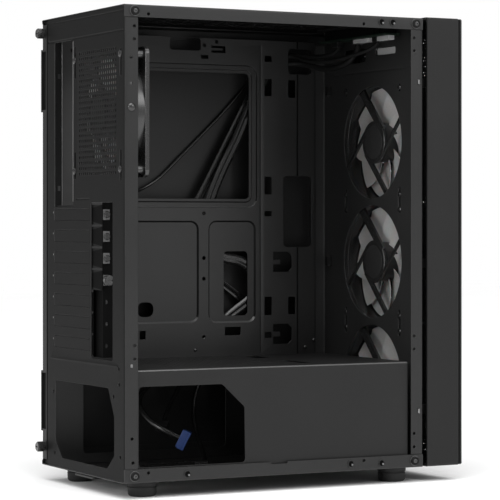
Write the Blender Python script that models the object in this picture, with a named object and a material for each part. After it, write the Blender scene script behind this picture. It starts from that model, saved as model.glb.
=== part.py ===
"""Mid-tower desktop computer case with its glass side off: chassis, fans, bezel, filters, covers and wiring.

Sizes are in millimetres and become metres in at(). A place in the case is (w, d, z): w runs from the
open left side to the right, d runs forward from the rear skin, and z runs up from the floor.
"""

import math

import bmesh
import bpy
from mathutils import Vector

MM = 0.001

# Driving dimensions
CASE_W = 195.0
REAR_TO_ORIGIN = 177.1
BODY_DEPTH = 317.4
FLOOR_Z = 15.0
ROOF_Z = 450.0
SHEET = 1.0
GAP = 0.3
RAIL_H = 12.5
RAIL_LOW = FLOOR_Z + RAIL_H
RAIL_HIGH = 438.5
POST_DEPTH = 13.6
BEND_R = 1.6
SIDE_JOG_W = 192.7
RIGHT_SKIN_W = 194.5
PANEL_LOW = 21.0
PANEL_HIGH = 444.8

TRAY_W = 172.0
TRAY_STEP_D = 272.0
TRAY_STEP = 2.2
TRAY_END_D = 295.5
SHROUD_W = 3.9
SHROUD_Z = 116.9
SHROUD_END_D = 302.0

SLOT_PITCH = 20.32
SLOT_TOP_Z = 259.2
SLOT_COUNT = 7
REUSABLE_COVERS = 4
SHELF_W = 54.6

FAN_SIZE = 119.6
FAN_DEPTH = 25.0
FAN_PITCH = 120.0
FAN_HOLE_PITCH = 105.0
FAN_BORE_R = 57.5
HUB_R = 20.0
BLADES = 7
REAR_FAN_W = 62.5
REAR_FAN_Z = 353.0
FRONT_FAN_W = 95.0
FRONT_FAN_Z = 212.5

BEZEL_D = 322.4
BEZEL_FRONT_D = 358.2
FRONT_D = 362.2
BEZEL_TOP = 451.2
BEZEL_WALL = 2.6

IO_D = 302.0
IO_LOW_W = 30.0
IO_HIGH_W = 165.0
BUTTON_TOP = 451.3


def at(w, d, z):
    """A place in the case as a world position in metres."""
    return Vector(((w - CASE_W / 2) * MM, (REAR_TO_ORIGIN - d) * MM, z * MM))


def on_plane(plane, u, v, t):
    """A point of an outline lying square to w, d or z, at distance t along it."""
    if plane == "w":
        return at(t, u, v)
    if plane == "d":
        return at(u, t, v)
    return at(u, v, t)


# ---------------------------------------------------------------- outlines


def rect(u0, v0, u1, v1):
    return [(u0, v0), (u1, v0), (u1, v1), (u0, v1)]


def centred(u, v, width, height):
    return rect(u - width / 2, v - height / 2, u + width / 2, v + height / 2)


def circle(u, v, radius, sides=16):
    turn = 2 * math.pi / sides
    return [(u + radius * math.cos(i * turn), v + radius * math.sin(i * turn)) for i in range(sides)]


def bend(before, here, after, radius, steps):
    """Points of the arc that rounds one corner of a path."""
    back = (before - here).normalized()
    ahead = (after - here).normalized()
    half = back.angle(ahead) / 2
    reach = radius / math.tan(half)
    centre = here + (back + ahead).normalized() * radius / math.sin(half)
    start = here + back * reach - centre
    end = here + ahead * reach - centre
    return [centre + start.slerp(end, step / steps) * radius for step in range(steps + 1)]


def rounded(corners, radius, steps=3):
    """The outline with each corner replaced by an arc of the given radius."""
    points = [Vector(corner) for corner in corners]
    count = len(points)
    soft = []
    for i, point in enumerate(points):
        soft += bend(points[i - 1], point, points[(i + 1) % count], radius, steps)
    return [tuple(point) for point in soft]


def folded(path, thickness=SHEET, radius=BEND_R, steps=2):
    """The outline of a strip of sheet that follows the path, with a rounded bend at each inner point."""
    points = [Vector(spot) for spot in path]
    soft = [points[0]]
    for before, here, after in zip(points, points[1:], points[2:]):
        soft += bend(before, here, after, radius, steps)
    soft.append(points[-1])
    ways = [(b - a).normalized() for a, b in zip(soft, soft[1:])]
    left = []
    right = []
    for point, before, after in zip(soft, ways[:1] + ways, ways + ways[-1:]):
        along = (before + after).normalized()
        reach = thickness / 2 / along.dot(before)
        side = Vector((-along.y, along.x)) * reach
        left.append(tuple(point + side))
        right.append(tuple(point - side))
    return left + right[::-1]


# ---------------------------------------------------------------- solids


def add_prism(mesh, plane, outline, low, high, origin):
    """A closed prism of the outline between two distances, relative to an origin."""
    near = [mesh.verts.new(on_plane(plane, u, v, low) - origin) for u, v in outline]
    far = [mesh.verts.new(on_plane(plane, u, v, high) - origin) for u, v in outline]
    mesh.faces.new(near)
    mesh.faces.new(far)
    count = len(outline)
    for i in range(count):
        j = (i + 1) % count
        mesh.faces.new((near[i], near[j], far[j], far[i]))


def add_turned(mesh, axis, rings, origin, sides=20):
    """A closed solid turned about an axis through the origin: rings are (distance, radius) along it."""
    loops = []
    for distance, radius in rings:
        loop = []
        for i in range(sides):
            angle = 2 * math.pi * i / sides
            a = radius * math.cos(angle) * MM
            b = radius * math.sin(angle) * MM
            t = distance * MM
            spot = {"w": (t, a, b), "d": (a, -t, b), "z": (a, b, t)}[axis]
            loop.append(mesh.verts.new(Vector(spot) + origin))
        loops.append(loop)
    mesh.faces.new(loops[0])
    mesh.faces.new(loops[-1])
    for lower, upper in zip(loops, loops[1:]):
        for i in range(sides):
            j = (i + 1) % sides
            mesh.faces.new((lower[i], lower[j], upper[j], upper[i]))


def place(name, mesh, origin, material, smooth_deg=None, cutter=False):
    """Turn a bmesh into a named object whose origin is the given world position."""
    bmesh.ops.recalc_face_normals(mesh, faces=mesh.faces)
    data = bpy.data.meshes.new(name)
    mesh.to_mesh(data)
    mesh.free()
    if smooth_deg:
        data.shade_smooth()
        data.set_sharp_from_angle(angle=math.radians(smooth_deg))
    thing = bpy.data.objects.new(name, data)
    thing.location = origin
    bpy.context.scene.collection.objects.link(thing)
    if cutter:
        thing.hide_render = True
        thing.display_type = "WIRE"
    else:
        data.materials.append(material)
    return thing


def combine(thing, other, operation):
    step = thing.modifiers.new(f"{operation.lower()}_{other.name}", "BOOLEAN")
    step.operation = operation
    step.solver = "EXACT"
    step.object = other


def helper(name, prisms, origin):
    """One hidden object holding several prisms, each (plane, outline, low, high)."""
    mesh = bmesh.new()
    for plane, outline, low, high in prisms:
        add_prism(mesh, plane, outline, low, high, origin)
    return place(name, mesh, origin, None, cutter=True)


def build(
    name, material, plane, outline, low, high, origin, cuts=(), joined=(), late_cuts=(), smooth_deg=None,
):
    """A prism with openings cut through it, further prisms joined to it and late cuts through both."""
    mesh = bmesh.new()
    add_prism(mesh, plane, outline, low, high, origin)
    thing = place(name, mesh, origin, material, smooth_deg)
    if cuts:
        combine(thing, helper(f"{name}_cut", cuts, origin), "DIFFERENCE")
    for i, prism in enumerate(joined):
        combine(thing, helper(f"{name}_join_{i}", [prism], origin), "UNION")
    if late_cuts:
        combine(thing, helper(f"{name}_late_cut", late_cuts, origin), "DIFFERENCE")
    return thing


def turned(name, material, axis, rings, centre, sides=20, parent=None):
    mesh = bmesh.new()
    add_turned(mesh, axis, rings, Vector((0, 0, 0)), sides)
    thing = place(name, mesh, centre, material, smooth_deg=35)
    if parent:
        thing.parent = parent
        thing.matrix_parent_inverse = parent.matrix_world.inverted()
    return thing


# ---------------------------------------------------------------- materials


def finish(name, colour, roughness, metallic=0.0, alpha=1.0):
    made = bpy.data.materials.new(name)
    made.use_nodes = True
    shader = made.node_tree.nodes["Principled BSDF"]
    shader.inputs["Base Color"].default_value = (*colour, 1.0)
    shader.inputs["Roughness"].default_value = roughness
    shader.inputs["Metallic"].default_value = metallic
    shader.inputs["Alpha"].default_value = alpha
    return made


def make_finishes():
    return {
        "steel": finish("powder_coated_steel", (0.030, 0.030, 0.032), 0.55, 0.2),
        "plastic": finish("black_plastic", (0.022, 0.022, 0.024), 0.5),
        "mesh": finish("filter_mesh", (0.015, 0.015, 0.016), 0.7),
        "blade": finish("milky_blade", (0.45, 0.46, 0.48), 0.3, alpha=0.8),
        "rubber": finish("foot_rubber", (0.012, 0.012, 0.012), 0.8),
        "screw": finish("black_screw", (0.05, 0.05, 0.055), 0.35, 0.9),
        "metal": finish("port_metal", (0.6, 0.6, 0.62), 0.3, 1.0),
        "board": finish("circuit_board", (0.10, 0.11, 0.12), 0.5),
        "cable": finish("cable_jacket", (0.015, 0.015, 0.016), 0.5),
        "blue": finish("blue_plug", (0.02, 0.12, 0.55), 0.4),
    }


# ---------------------------------------------------------------- chassis sheets


def slot_z(index):
    """Height of the middle of an expansion slot, counted from the top."""
    return SLOT_TOP_Z - index * SLOT_PITCH


def side_flange_cuts(low_d, high_d):
    """Corner notches that let the roof's and floor's side rails pass a front or rear sheet."""
    left = -1.0, SHEET + GAP
    right = SIDE_JOG_W - SHEET / 2 - GAP, CASE_W
    cuts = []
    for (w0, w1), drop in ((left, 0.0), (right, 2.5)):
        cuts.append(("d", rect(w0, FLOOR_Z - 5, w1, RAIL_LOW + GAP + drop), low_d, high_d))
        cuts.append(("d", rect(w0, RAIL_HIGH - GAP - drop, w1, ROOF_Z + 5), low_d, high_d))
    return cuts


PSU_OPENING = [
    (161.0, 41.4), (145.0, 25.5), (39.0, 25.5), (23.0, 38.4), (23.0, 74.0), (36.6, 99.6), (161.0, 99.6),
]
IO_OPENING = rect(118.6, 266.9, 163.05, 425.65)
CHANNEL = rect(26.5, 125.0, 75.5, 270.4)


def rear_vent_slots():
    """Upright slots in rows behind the exhaust fan, inside a square of the fan's width."""
    slots = []
    rows = 3
    columns = 9
    for row in range(rows):
        for column in range(columns):
            w = REAR_FAN_W + (column - (columns - 1) / 2) * 10.5
            z = REAR_FAN_Z + (row - (rows - 1) / 2) * 39.0
            slots.append(("d", centred(w, z, 6.0, 34.0), -1.0, 3.0))
    return slots


def make_rear_panel(m):
    path = [(0.5, POST_DEPTH), (0.5, 0.5), (180.6, 0.5), (182.6, 2.5), (193.4, 2.5)]
    cuts = [("d", rounded(IO_OPENING, 2.0), -1, 3), ("d", rounded(PSU_OPENING, 1.5, 2), -1, 3)]
    cuts.append(("d", rounded(CHANNEL, 1.5, 2), -1, 3))
    for i in range(SLOT_COUNT):
        cuts.append(("d", rect(79.5, slot_z(i) - 6.2, 164.0, slot_z(i) + 6.2), -1, 3))
    cuts += rear_vent_slots()
    for side in (-1, 1):
        w = REAR_FAN_W + side * FAN_HOLE_PITCH / 2
        for z in (391.0, 311.8):
            cuts.append(("d", centred(w, z, 4.4, 13.0), -1, 3))
    for w, z in ((24.7, 92.2), (10.0, 38.0), (166.0, 88.0), (163.0, 29.0)):
        cuts.append(("d", circle(w, z, 1.9, 8), -1, 3))
    for z in (436.5, 33.0):
        cuts.append(("d", circle(189.0, z, 2.2, 12), 1, 4))
    for z in (430.2, 418.4, 401.9, 378.3, 140.1, 128.0, 55.5, 33.7):
        cuts.append(("w", circle(9.4, z, 1.5, 6), -1, 3))
    cuts += side_flange_cuts(-2, 20)
    return build(
        "rear_panel", m["steel"], "z", folded(path), FLOOR_Z + SHEET + GAP, ROOF_Z - SHEET - GAP,
        at(0, 0, FLOOR_Z), cuts,
    )


def top_vent_slots():
    """Slots across the roof over the two upper fan places."""
    slots = []
    for row in range(10):
        d = 48.0 + row * 24.0
        for w in (66.0, 129.0):
            slots.append(("z", centred(w, d, 56.0, 16.0), ROOF_Z - 5, ROOF_Z + 5))
    return slots


def make_top_panel(m):
    mid = ROOF_Z - SHEET / 2
    path = [
        (0.5, RAIL_HIGH), (0.5, mid), (RIGHT_SKIN_W, mid),
        (RIGHT_SKIN_W, 447.4), (SIDE_JOG_W, 445.4), (SIDE_JOG_W, 436.0),
    ]
    cuts = top_vent_slots()
    cuts.append(("z", rect(IO_LOW_W, IO_D - 11, IO_HIGH_W, IO_D + 11), ROOF_Z - 5, ROOF_Z + 5))
    for d in (24.1, 251.2, 270.7):
        cuts.append(("w", circle(d, 441.8, 1.5, 6), -1, 3))
    cuts.append(("d", rect(190.0, 430.0, CASE_W + 1, PANEL_HIGH + GAP), -1, SHEET + 0.5))
    return build(
        "top_panel", m["steel"], "d", folded(path, radius=1.0), 0, BODY_DEPTH, at(0, 0, ROOF_Z), cuts,
    )


def make_bottom_panel(m):
    mid = FLOOR_Z + SHEET / 2
    path = [
        (0.5, RAIL_LOW), (0.5, mid), (RIGHT_SKIN_W, mid),
        (RIGHT_SKIN_W, 18.4), (SIDE_JOG_W, 20.4), (SIDE_JOG_W, 29.5),
    ]
    cuts = []
    for row in range(5):
        for column in range(2):
            cuts.append(("z", centred(70 + 54 * column, 40 + row * 24, 46, 16), FLOOR_Z - 5, FLOOR_Z + 5))
    for d in (24.1, 63.3, 236.6, 270.7):
        cuts.append(("w", circle(d, 22.6, 1.5, 6), -1, 3))
    cuts.append(("d", rect(190.0, PANEL_LOW - GAP, CASE_W + 1, 35.0), -1, SHEET + 0.5))
    for w in (45.0, 115.0):
        for d in (215.0, 290.0):
            cuts.append(("z", circle(w, d, 1.9, 8), FLOOR_Z - 5, FLOOR_Z + 5))
    return build(
        "bottom_panel", m["steel"], "d", folded(path, radius=1.0), 0, BODY_DEPTH, at(0, 0, FLOOR_Z), cuts,
    )


def front_fan_z(index):
    """Height of a front fan's axis, counted from the top."""
    return FRONT_FAN_Z + (1 - index) * FAN_PITCH


BEZEL_PEGS = [(w, z) for w in (12.0, 181.0) for z in (70.0, 212.0, 388.0)]


def make_front_plate(m):
    mid = BODY_DEPTH - SHEET / 2
    path = [(0.5, BODY_DEPTH - POST_DEPTH), (0.5, mid), (SIDE_JOG_W, mid), (SIDE_JOG_W, 304.0)]
    low, high = BODY_DEPTH - 3, BODY_DEPTH + 1
    cuts = []
    for i in range(3):
        cuts.append(("d", circle(FRONT_FAN_W, front_fan_z(i), 56.6, 28), low, high))
    for side in (-1, 1):
        w = FRONT_FAN_W + side * FAN_HOLE_PITCH / 2
        for z in (274.0, 152.5):
            cuts.append(("d", rounded(centred(w, z, 4.6, 26), 2.0, 2), low, high))
        for z in (385.0, 40.0):
            cuts.append(("d", rounded(centred(w, z, 4.6, 8), 2.0, 2), low, high))
    cuts.append(("d", rounded(rect(50, 418.7, 88, 426.8), 2.5), low, high))
    cuts.append(("d", rounded(rect(108, 414, 150, 428), 3), low, high))
    for w, z in BEZEL_PEGS:
        cuts.append(("d", centred(w, z, 7, 11), low, high))
    for z in (430.4, 418.1, 388.0, 142.1, 129.5, 69.3, 47.8, 34.8):
        cuts.append(("w", circle(307.6, z, 1.5, 6), -1, 3))
    cuts += side_flange_cuts(290, BODY_DEPTH + 1)
    return build(
        "front_plate", m["steel"], "z", folded(path), FLOOR_Z + SHEET + GAP, ROOF_Z - SHEET - GAP,
        at(0, BODY_DEPTH, FLOOR_Z), cuts,
    )


BOARD_HOLES = [(w, z) for w in (10.2, 165.6) for z in (261.1, 136.8)] + [(165.6, 216.2), (165.6, 195.4)]
CPU_CUTOUT = rect(40.0, 275.8, 216.6, 402.7)
CABLE_WINDOW = rect(188.7, 157.8, 215.7, 222.7)
TALL_OPENING = rect(256.3, 226.8, 290.0, 299.6)
BAY_OPENING = rect(34.0, 26.0, 190.0, 106.0)


def make_tray(m):
    path = [
        (180.0, 1.9), (TRAY_W, 1.9), (TRAY_W, TRAY_STEP_D), (TRAY_W + TRAY_STEP, TRAY_STEP_D + 2.5),
        (TRAY_W + TRAY_STEP, TRAY_END_D), (186.0, TRAY_END_D),
    ]
    low, high = TRAY_W - 3, TRAY_W + 6
    wide = [CPU_CUTOUT, CABLE_WINDOW, TALL_OPENING, BAY_OPENING, rect(262.0, 404.0, 290.0, 430.0)]
    cuts = [("w", rounded(outline, 4.0), low, high) for outline in wide]
    for z in (389.6, 289.5, 166.8):
        cuts.append(("w", centred(238.8, z, 8.2, 17.6), low, high))
    for z in (418.7, 261.0, 137.2):
        cuts.append(("w", centred(238.8, z, 8.2, 5.8), low, high))
    for z in (388.9, 166.8):
        cuts.append(("w", centred(266.2, z, 8.2, 17.8), low, high))
    for z in (211.6, 138.0):
        cuts.append(("w", rounded(centred(255.4, z, 21.6, 20.4), 4.0, 2), low, high))
    cuts.append(("w", rounded(rect(121, 428.8, 150, 436.7), 2.0, 2), low, high))
    cuts.append(("w", rounded(rect(93, 158, 110, 172.5), 6.0), low, high))
    cuts.append(("w", rect(94.6, 136, 100.9, 144.4), low, high))
    cuts.append(("w", rect(189.4, 138, 207.3, 146.3), low, high))
    for d, z in BOARD_HOLES + [(166.0, 430.0), (180.0, 426.8), (22.0, 420.0)]:
        cuts.append(("w", circle(d, z, 1.9, 8), low, high))
    return build(
        "motherboard_tray", m["steel"], "z", folded(path), FLOOR_Z + SHEET + GAP, RAIL_HIGH - 1.0,
        at(TRAY_W, 0, FLOOR_Z), cuts,
    )


SHROUD_WINDOW = [
    (14.0, 28.6), (116.0, 28.6), (125.0, 37.0), (124.3, 80.2), (101.0, 102.0), (14.0, 102.0),
]


def make_shroud(m):
    path = [(SHROUD_W, FLOOR_Z + SHEET + GAP), (SHROUD_W, SHROUD_Z), (TRAY_W - 1.0, SHROUD_Z)]
    cuts = [("w", rounded(SHROUD_WINDOW, 3.0, 2), SHROUD_W - 3, SHROUD_W + 3)]
    high = SHROUD_Z + 3
    for row in range(2):
        for column in range(8):
            spot = centred(108.0 + 32 * row, 54.0 + 13 * column, 26, 7)
            cuts.append(("z", spot, SHROUD_Z - 3, high))
    cuts.append(("z", rounded(rect(120.0, 196.0, 160.0, 216.0), 4), SHROUD_Z - 3, high))
    cuts.append(("z", rounded(rect(30.0, 196.0, 80.0, 212.0), 4), SHROUD_Z - 3, high))
    return build(
        "psu_shroud", m["steel"], "d", folded(path), POST_DEPTH + 1.0, SHROUD_END_D,
        at(SHROUD_W, POST_DEPTH, SHROUD_Z), cuts,
    )


GRIPS_Z = ((50.0, 105.0), (362.0, 419.0))


def make_right_panel(m, parent):
    """The side panel: a skin with folded ends, and two bulged finger grips in its rear edge."""
    path = [(183.2, 0.5), (RIGHT_SKIN_W, 0.5), (RIGHT_SKIN_W, 319.5)]
    joined = []
    late = []
    for low, high in GRIPS_Z:
        bulge = [(193.8, 0.0), (197.5, 0.0), (197.5, 17.0), (194.8, 26.0), (193.8, 26.0)]
        joined.append(("z", bulge, low - 2.0, high + 2.0))
        hollow = [
            (184.6, -1.0), (196.3, -1.0), (196.3, 16.0), (193.6, 23.5), (192.6, 23.5), (192.6, 1.6),
            (184.6, 1.6),
        ]
        late.append(("z", hollow, low, high))
    holes = [("d", circle(189.0, z, 2.4, 12), -1, 2) for z in (436.5, 33.0)]
    panel = build(
        "right_side_panel", m["steel"], "z", folded(path), PANEL_LOW, PANEL_HIGH,
        at(RIGHT_SKIN_W, 0, PANEL_LOW), holes, joined, late,
    )
    panel.parent = parent
    panel.matrix_parent_inverse = parent.matrix_world.inverted()
    return panel


# ---------------------------------------------------------------- expansion slots


def make_slot_cover(m, index):
    """A slot's blank: a flat blade behind the rear skin; the reusable ones have a screw tab."""
    z = slot_z(index)
    joined = []
    late = []
    if index < REUSABLE_COVERS:
        joined.append(("d", rect(52.9, z - 5.4, 54.1, z + 5.4), 1.8, 11.0))
        late.append(("w", circle(6.2, z, 2.1, 8), 50, 56))
    left = 52.9 if index < REUSABLE_COVERS else 74.0
    return build(
        f"slot_cover_{index + 1}", m["steel"], "d", rect(left, z - 9.2, 168.5, z + 9.2), 1.3, 2.3,
        at(110, 1.3, z), (), joined, late,
    )


def make_slot_shelf(m):
    """The folded rail that the covers' tabs and the cards' brackets screw to."""
    path = [(SHELF_W + 0.5, 2.7), (SHELF_W + 0.5, 24.0), (78.0, 24.0)]
    low, high = slot_z(SLOT_COUNT - 1) - 11.0, slot_z(0) + 24.0
    cuts = [("w", circle(6.2, slot_z(i), 2.1, 8), 50, 60) for i in range(SLOT_COUNT)]
    foot = ("d", rect(40.0, slot_z(0) + 12.0, SHELF_W + 0.9, high), 1.3, 3.0)
    return build(
        "slot_shelf", m["steel"], "z", folded(path), low, high, at(SHELF_W, 2.7, low), cuts, [foot],
    )


# ---------------------------------------------------------------- screws and bosses


def thumbscrew_rings(head, shank, grip_r=5.0, shank_r=1.6):
    """A knurled head with chamfers, then a shank, from the head's outer face inwards."""
    return [
        (-head, grip_r - 0.8), (-head + 0.8, grip_r), (-0.8, grip_r), (0.0, grip_r - 0.8),
        (0.0, shank_r), (shank, shank_r),
    ]


def make_thumbscrews(m, panel_body):
    screws = []
    for i, z in enumerate((436.5, 33.0)):
        rings = thumbscrew_rings(7.7, 6.5)
        centre = at(189.0, -GAP, z)
        screws.append(turned(f"side_thumbscrew_{i + 1}", m["screw"], "d", rings, centre, 16, panel_body))
    z = slot_z(REUSABLE_COVERS - 1)
    rings = thumbscrew_rings(6.6, 7.0)
    screws.append(turned("slot_thumbscrew", m["screw"], "w", rings, at(52.6, 6.2, z), 16))
    return screws


def make_glass_bosses(m):
    """Corner bosses on the open side that the glass panel's screws go into."""
    spots = ((10.2, 444.2), (309.3, 444.2), (10.2, 21.4), (307.8, 21.4))
    rings = [(-2.5, 3.6), (-1.9, 4.2), (-GAP, 4.2)]
    for i, (d, z) in enumerate(spots):
        turned(f"glass_boss_{i + 1}", m["rubber"], "w", rings, at(0, d, z), 16)


def make_feet(m):
    rings = [(0.0, 11.6), (1.8, 13.4), (12.0, 14.0), (FLOOR_Z - GAP, 14.0)]
    for side, w in (("left", 27.0), ("right", 168.0)):
        for end, d in (("rear", 30.0), ("front", 298.0)):
            turned(f"foot_{end}_{side}", m["rubber"], "z", rings, at(w, d, 0), 20)


# ---------------------------------------------------------------- fans


def make_fan_frame_mesh():
    """One fan frame about its own axis: square body, bore, screw holes, hub seat and four tangent struts."""
    half = FAN_SIZE / 2
    origin = at(0, 0, 0)
    body = bmesh.new()
    add_prism(body, "d", rounded(rect(-half, -half, half, half), 7.0, 3), 0, FAN_DEPTH, origin)
    frame = place("fan_frame_base", body, Vector((0, 0, 0)), None, cutter=True)
    holes = [("d", circle(0, 0, FAN_BORE_R, 28), -1, FAN_DEPTH + 1)]
    reach = FAN_HOLE_PITCH / 2
    for u in (-reach, reach):
        for v in (-reach, reach):
            holes.append(("d", circle(u, v, 2.2, 6), -1, FAN_DEPTH + 1))
    seat = [("d", circle(0, 0, HUB_R + 1.5, 16), 0, 3.4)]
    struts = []
    for quarter in range(4):
        angle = math.radians(45 + 90 * quarter)
        along = Vector((math.cos(angle), math.sin(angle)))
        across = Vector((-along.y, along.x))
        base = across * (HUB_R - 0.5)
        corners = [
            base + across * side * 1.7 + along * reach_out
            for side, reach_out in ((-1, -4.0), (1, -4.0), (1, 56.0), (-1, 56.0))
        ]
        struts.append(("d", [tuple(c) for c in corners], 0.2, 3.0))
    zero = at(0, 0, 0)
    for label, prisms, operation in (
        ("bore", holes, "DIFFERENCE"), ("seat", seat, "UNION"),
        *((f"strut_{i}", [strut], "UNION") for i, strut in enumerate(struts)),
        ("bearing", [("d", circle(0, 0, 2.2, 8), -1, 5)], "DIFFERENCE"),
    ):
        mesh = bmesh.new()
        for plane, outline, low, high in prisms:
            add_prism(mesh, plane, outline, low, high, zero)
        combine(frame, place(f"fan_frame_{label}", mesh, Vector((0, 0, 0)), None, cutter=True), operation)
    return frame


def blade_grid(index, rows=3, columns=3):
    """Upper and lower skins of one blade as grids of points about the fan's axis."""
    start = 2 * math.pi * index / BLADES
    inner, outer = HUB_R - 1.5, FAN_BORE_R - 1.6
    upper = []
    lower = []
    for row in range(rows):
        share = row / (rows - 1)
        radius = inner + (outer - inner) * share
        chord = math.radians(50 - 5 * share)
        sweep = math.radians(30) * share ** 1.3
        for column in range(columns):
            t = column / (columns - 1)
            angle = start + sweep + chord * t
            rise = 5.5 + 13.5 * t + 1.6 * math.sin(math.pi * t)
            spot = radius * math.cos(angle), radius * math.sin(angle)
            upper.append((spot[0], spot[1], rise + 0.8))
            lower.append((spot[0], spot[1], rise - 0.8))
    return upper, lower


def add_blade(mesh, index, rows=3, columns=3):
    upper, lower = blade_grid(index, rows, columns)
    skins = []
    for skin in (upper, lower):
        skins.append([mesh.verts.new(Vector((u * MM, -t * MM, v * MM))) for u, v, t in skin])
    top, bottom = skins
    for row in range(rows - 1):
        for column in range(columns - 1):
            a = row * columns + column
            quad = (a, a + 1, a + columns + 1, a + columns)
            mesh.faces.new([top[k] for k in quad])
            mesh.faces.new([bottom[k] for k in reversed(quad)])
    border = list(range(columns))
    border += [r * columns + columns - 1 for r in range(1, rows)]
    border += [(rows - 1) * columns + c for c in range(columns - 2, -1, -1)]
    border += [r * columns for r in range(rows - 2, 0, -1)]
    for i, a in enumerate(border):
        b = border[(i + 1) % len(border)]
        mesh.faces.new((top[a], bottom[a], bottom[b], top[b]))


def make_rotor_mesh():
    """The impeller: hub with its shaft, and the swept blades joined to it."""
    hub = bmesh.new()
    rings = [(0.8, 1.7), (4.0, 1.7), (4.0, HUB_R - 1.5), (5.0, HUB_R), (21.5, HUB_R), (22.8, HUB_R - 1.5)]
    add_turned(hub, "d", rings, Vector((0, 0, 0)), 18)
    rotor = place("rotor_base", hub, Vector((0, 0, 0)), None, cutter=True)
    for i in range(BLADES):
        mesh = bmesh.new()
        add_blade(mesh, i)
        combine(rotor, place(f"rotor_blade_{i}", mesh, Vector((0, 0, 0)), None, cutter=True), "UNION")
    return rotor


def baked(thing, name, material):
    """The finished mesh of an object with its modifiers applied."""
    graph = bpy.context.evaluated_depsgraph_get()
    data = bpy.data.meshes.new_from_object(thing.evaluated_get(graph))
    data.name = name
    data.materials.clear()
    data.materials.append(material)
    data.shade_smooth()
    data.set_sharp_from_angle(angle=math.radians(35))
    return data


def drop_helpers(prefix):
    for thing in list(bpy.data.objects):
        if thing.name.startswith(prefix):
            bpy.data.objects.remove(thing)


def make_fans(m):
    frame_mesh = baked(make_fan_frame_mesh(), "fan_frame", m["plastic"])
    drop_helpers("fan_frame")
    rotor_mesh = baked(make_rotor_mesh(), "fan_rotor", m["blade"])
    drop_helpers("rotor")
    places = [("rear_fan", REAR_FAN_W, REAR_FAN_Z, SHEET + GAP)]
    for i in range(3):
        places.append((f"front_fan_{i + 1}", FRONT_FAN_W, front_fan_z(i), BODY_DEPTH + GAP))
    for name, w, z, d in places:
        for part, data in (("frame", frame_mesh), ("rotor", rotor_mesh)):
            thing = bpy.data.objects.new(f"{name}_{part}", data)
            thing.location = at(w, d, z)
            bpy.context.scene.collection.objects.link(thing)


# ---------------------------------------------------------------- bezel and filters


def make_bezel(m, parent):
    """A deep frame round the front fans, held by pegs in the front plate, with a grille in its face."""
    wall = BEZEL_WALL
    outer = rounded(rect(0, FLOOR_Z, CASE_W, BEZEL_TOP), 2.0, 2)
    inner = rounded(rect(wall, FLOOR_Z + wall, CASE_W - wall, BEZEL_TOP - wall), 1.0, 2)
    cuts = [("d", inner, BEZEL_D - 1, BEZEL_FRONT_D + 1)]
    joined = []
    for w, z in BEZEL_PEGS:
        inward = 1 if w < CASE_W / 2 else -1
        wall_w = wall / 2 if inward > 0 else CASE_W - wall / 2
        low, high = sorted((wall_w, w + inward * 2.5))
        joined.append(("d", rect(low, z - 4.5, high, z + 4.5), 330.0, 336.0))
        joined.append(("d", centred(w, z, 5.0, 9.0), 312.0, 331.0))
    bezel = build(
        "front_bezel", m["plastic"], "d", outer, BEZEL_D, BEZEL_FRONT_D, at(CASE_W / 2, BEZEL_D, FLOOR_Z),
        cuts, joined,
    )
    face = rect(0.4, FLOOR_Z + 0.4, CASE_W - 0.4, BEZEL_TOP - 0.4)
    grille = build(
        "front_grille", m["steel"], "d", rounded(face, 2.0, 2), BEZEL_FRONT_D + GAP, FRONT_D,
        at(CASE_W / 2, BEZEL_FRONT_D, FLOOR_Z),
    )
    pane = rect(3.0, 18.0, CASE_W - 3.0, 448.2)
    filter_frame = build(
        "front_filter", m["mesh"], "d", rounded(pane, 2.0, 2), 354.0, BEZEL_FRONT_D - GAP,
        at(CASE_W / 2, 354.0, 18),
    )
    for thing in (bezel, grille, filter_frame):
        thing.parent = parent
        thing.matrix_parent_inverse = parent.matrix_world.inverted()


def make_filters(m):
    build(
        "top_filter", m["mesh"], "z", rounded(rect(30.0, 30.0, 165.0, 284.0), 4.0),
        ROOF_Z + GAP, BEZEL_TOP + 0.1, at(CASE_W / 2, 157.0, ROOF_Z),
    )
    lip = ("z", rounded(rect(75.0, 2.0, 119.0, 14.0), 2.0, 2), 11.6, 13.9)
    build(
        "psu_filter", m["mesh"], "z", rounded(rect(46.0, 8.0, 148.0, 168.0), 2.0, 2), 12.8, 14.2,
        at(97.0, 8.0, 13.0), (), [lip],
    )
    for side, w, outward in (("left", 44.6, -1), ("right", 149.4, 1)):
        path = [(w - outward * 3.4, 12.1), (w + outward * 1.0, 12.1), (w + outward * 1.0, 14.7)]
        build(
            f"filter_rail_{side}", m["plastic"], "d", folded(path, 0.9, 0.6), 12.0, 172.0,
            at(w, 12.0, 12.0),
        )


# ---------------------------------------------------------------- ports and buttons


USB_W = (66.0, 88.0, 113.0)
AUDIO_W = (134.0, 146.0)
POWER_W = 44.0
RESET_W = 156.5


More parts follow.
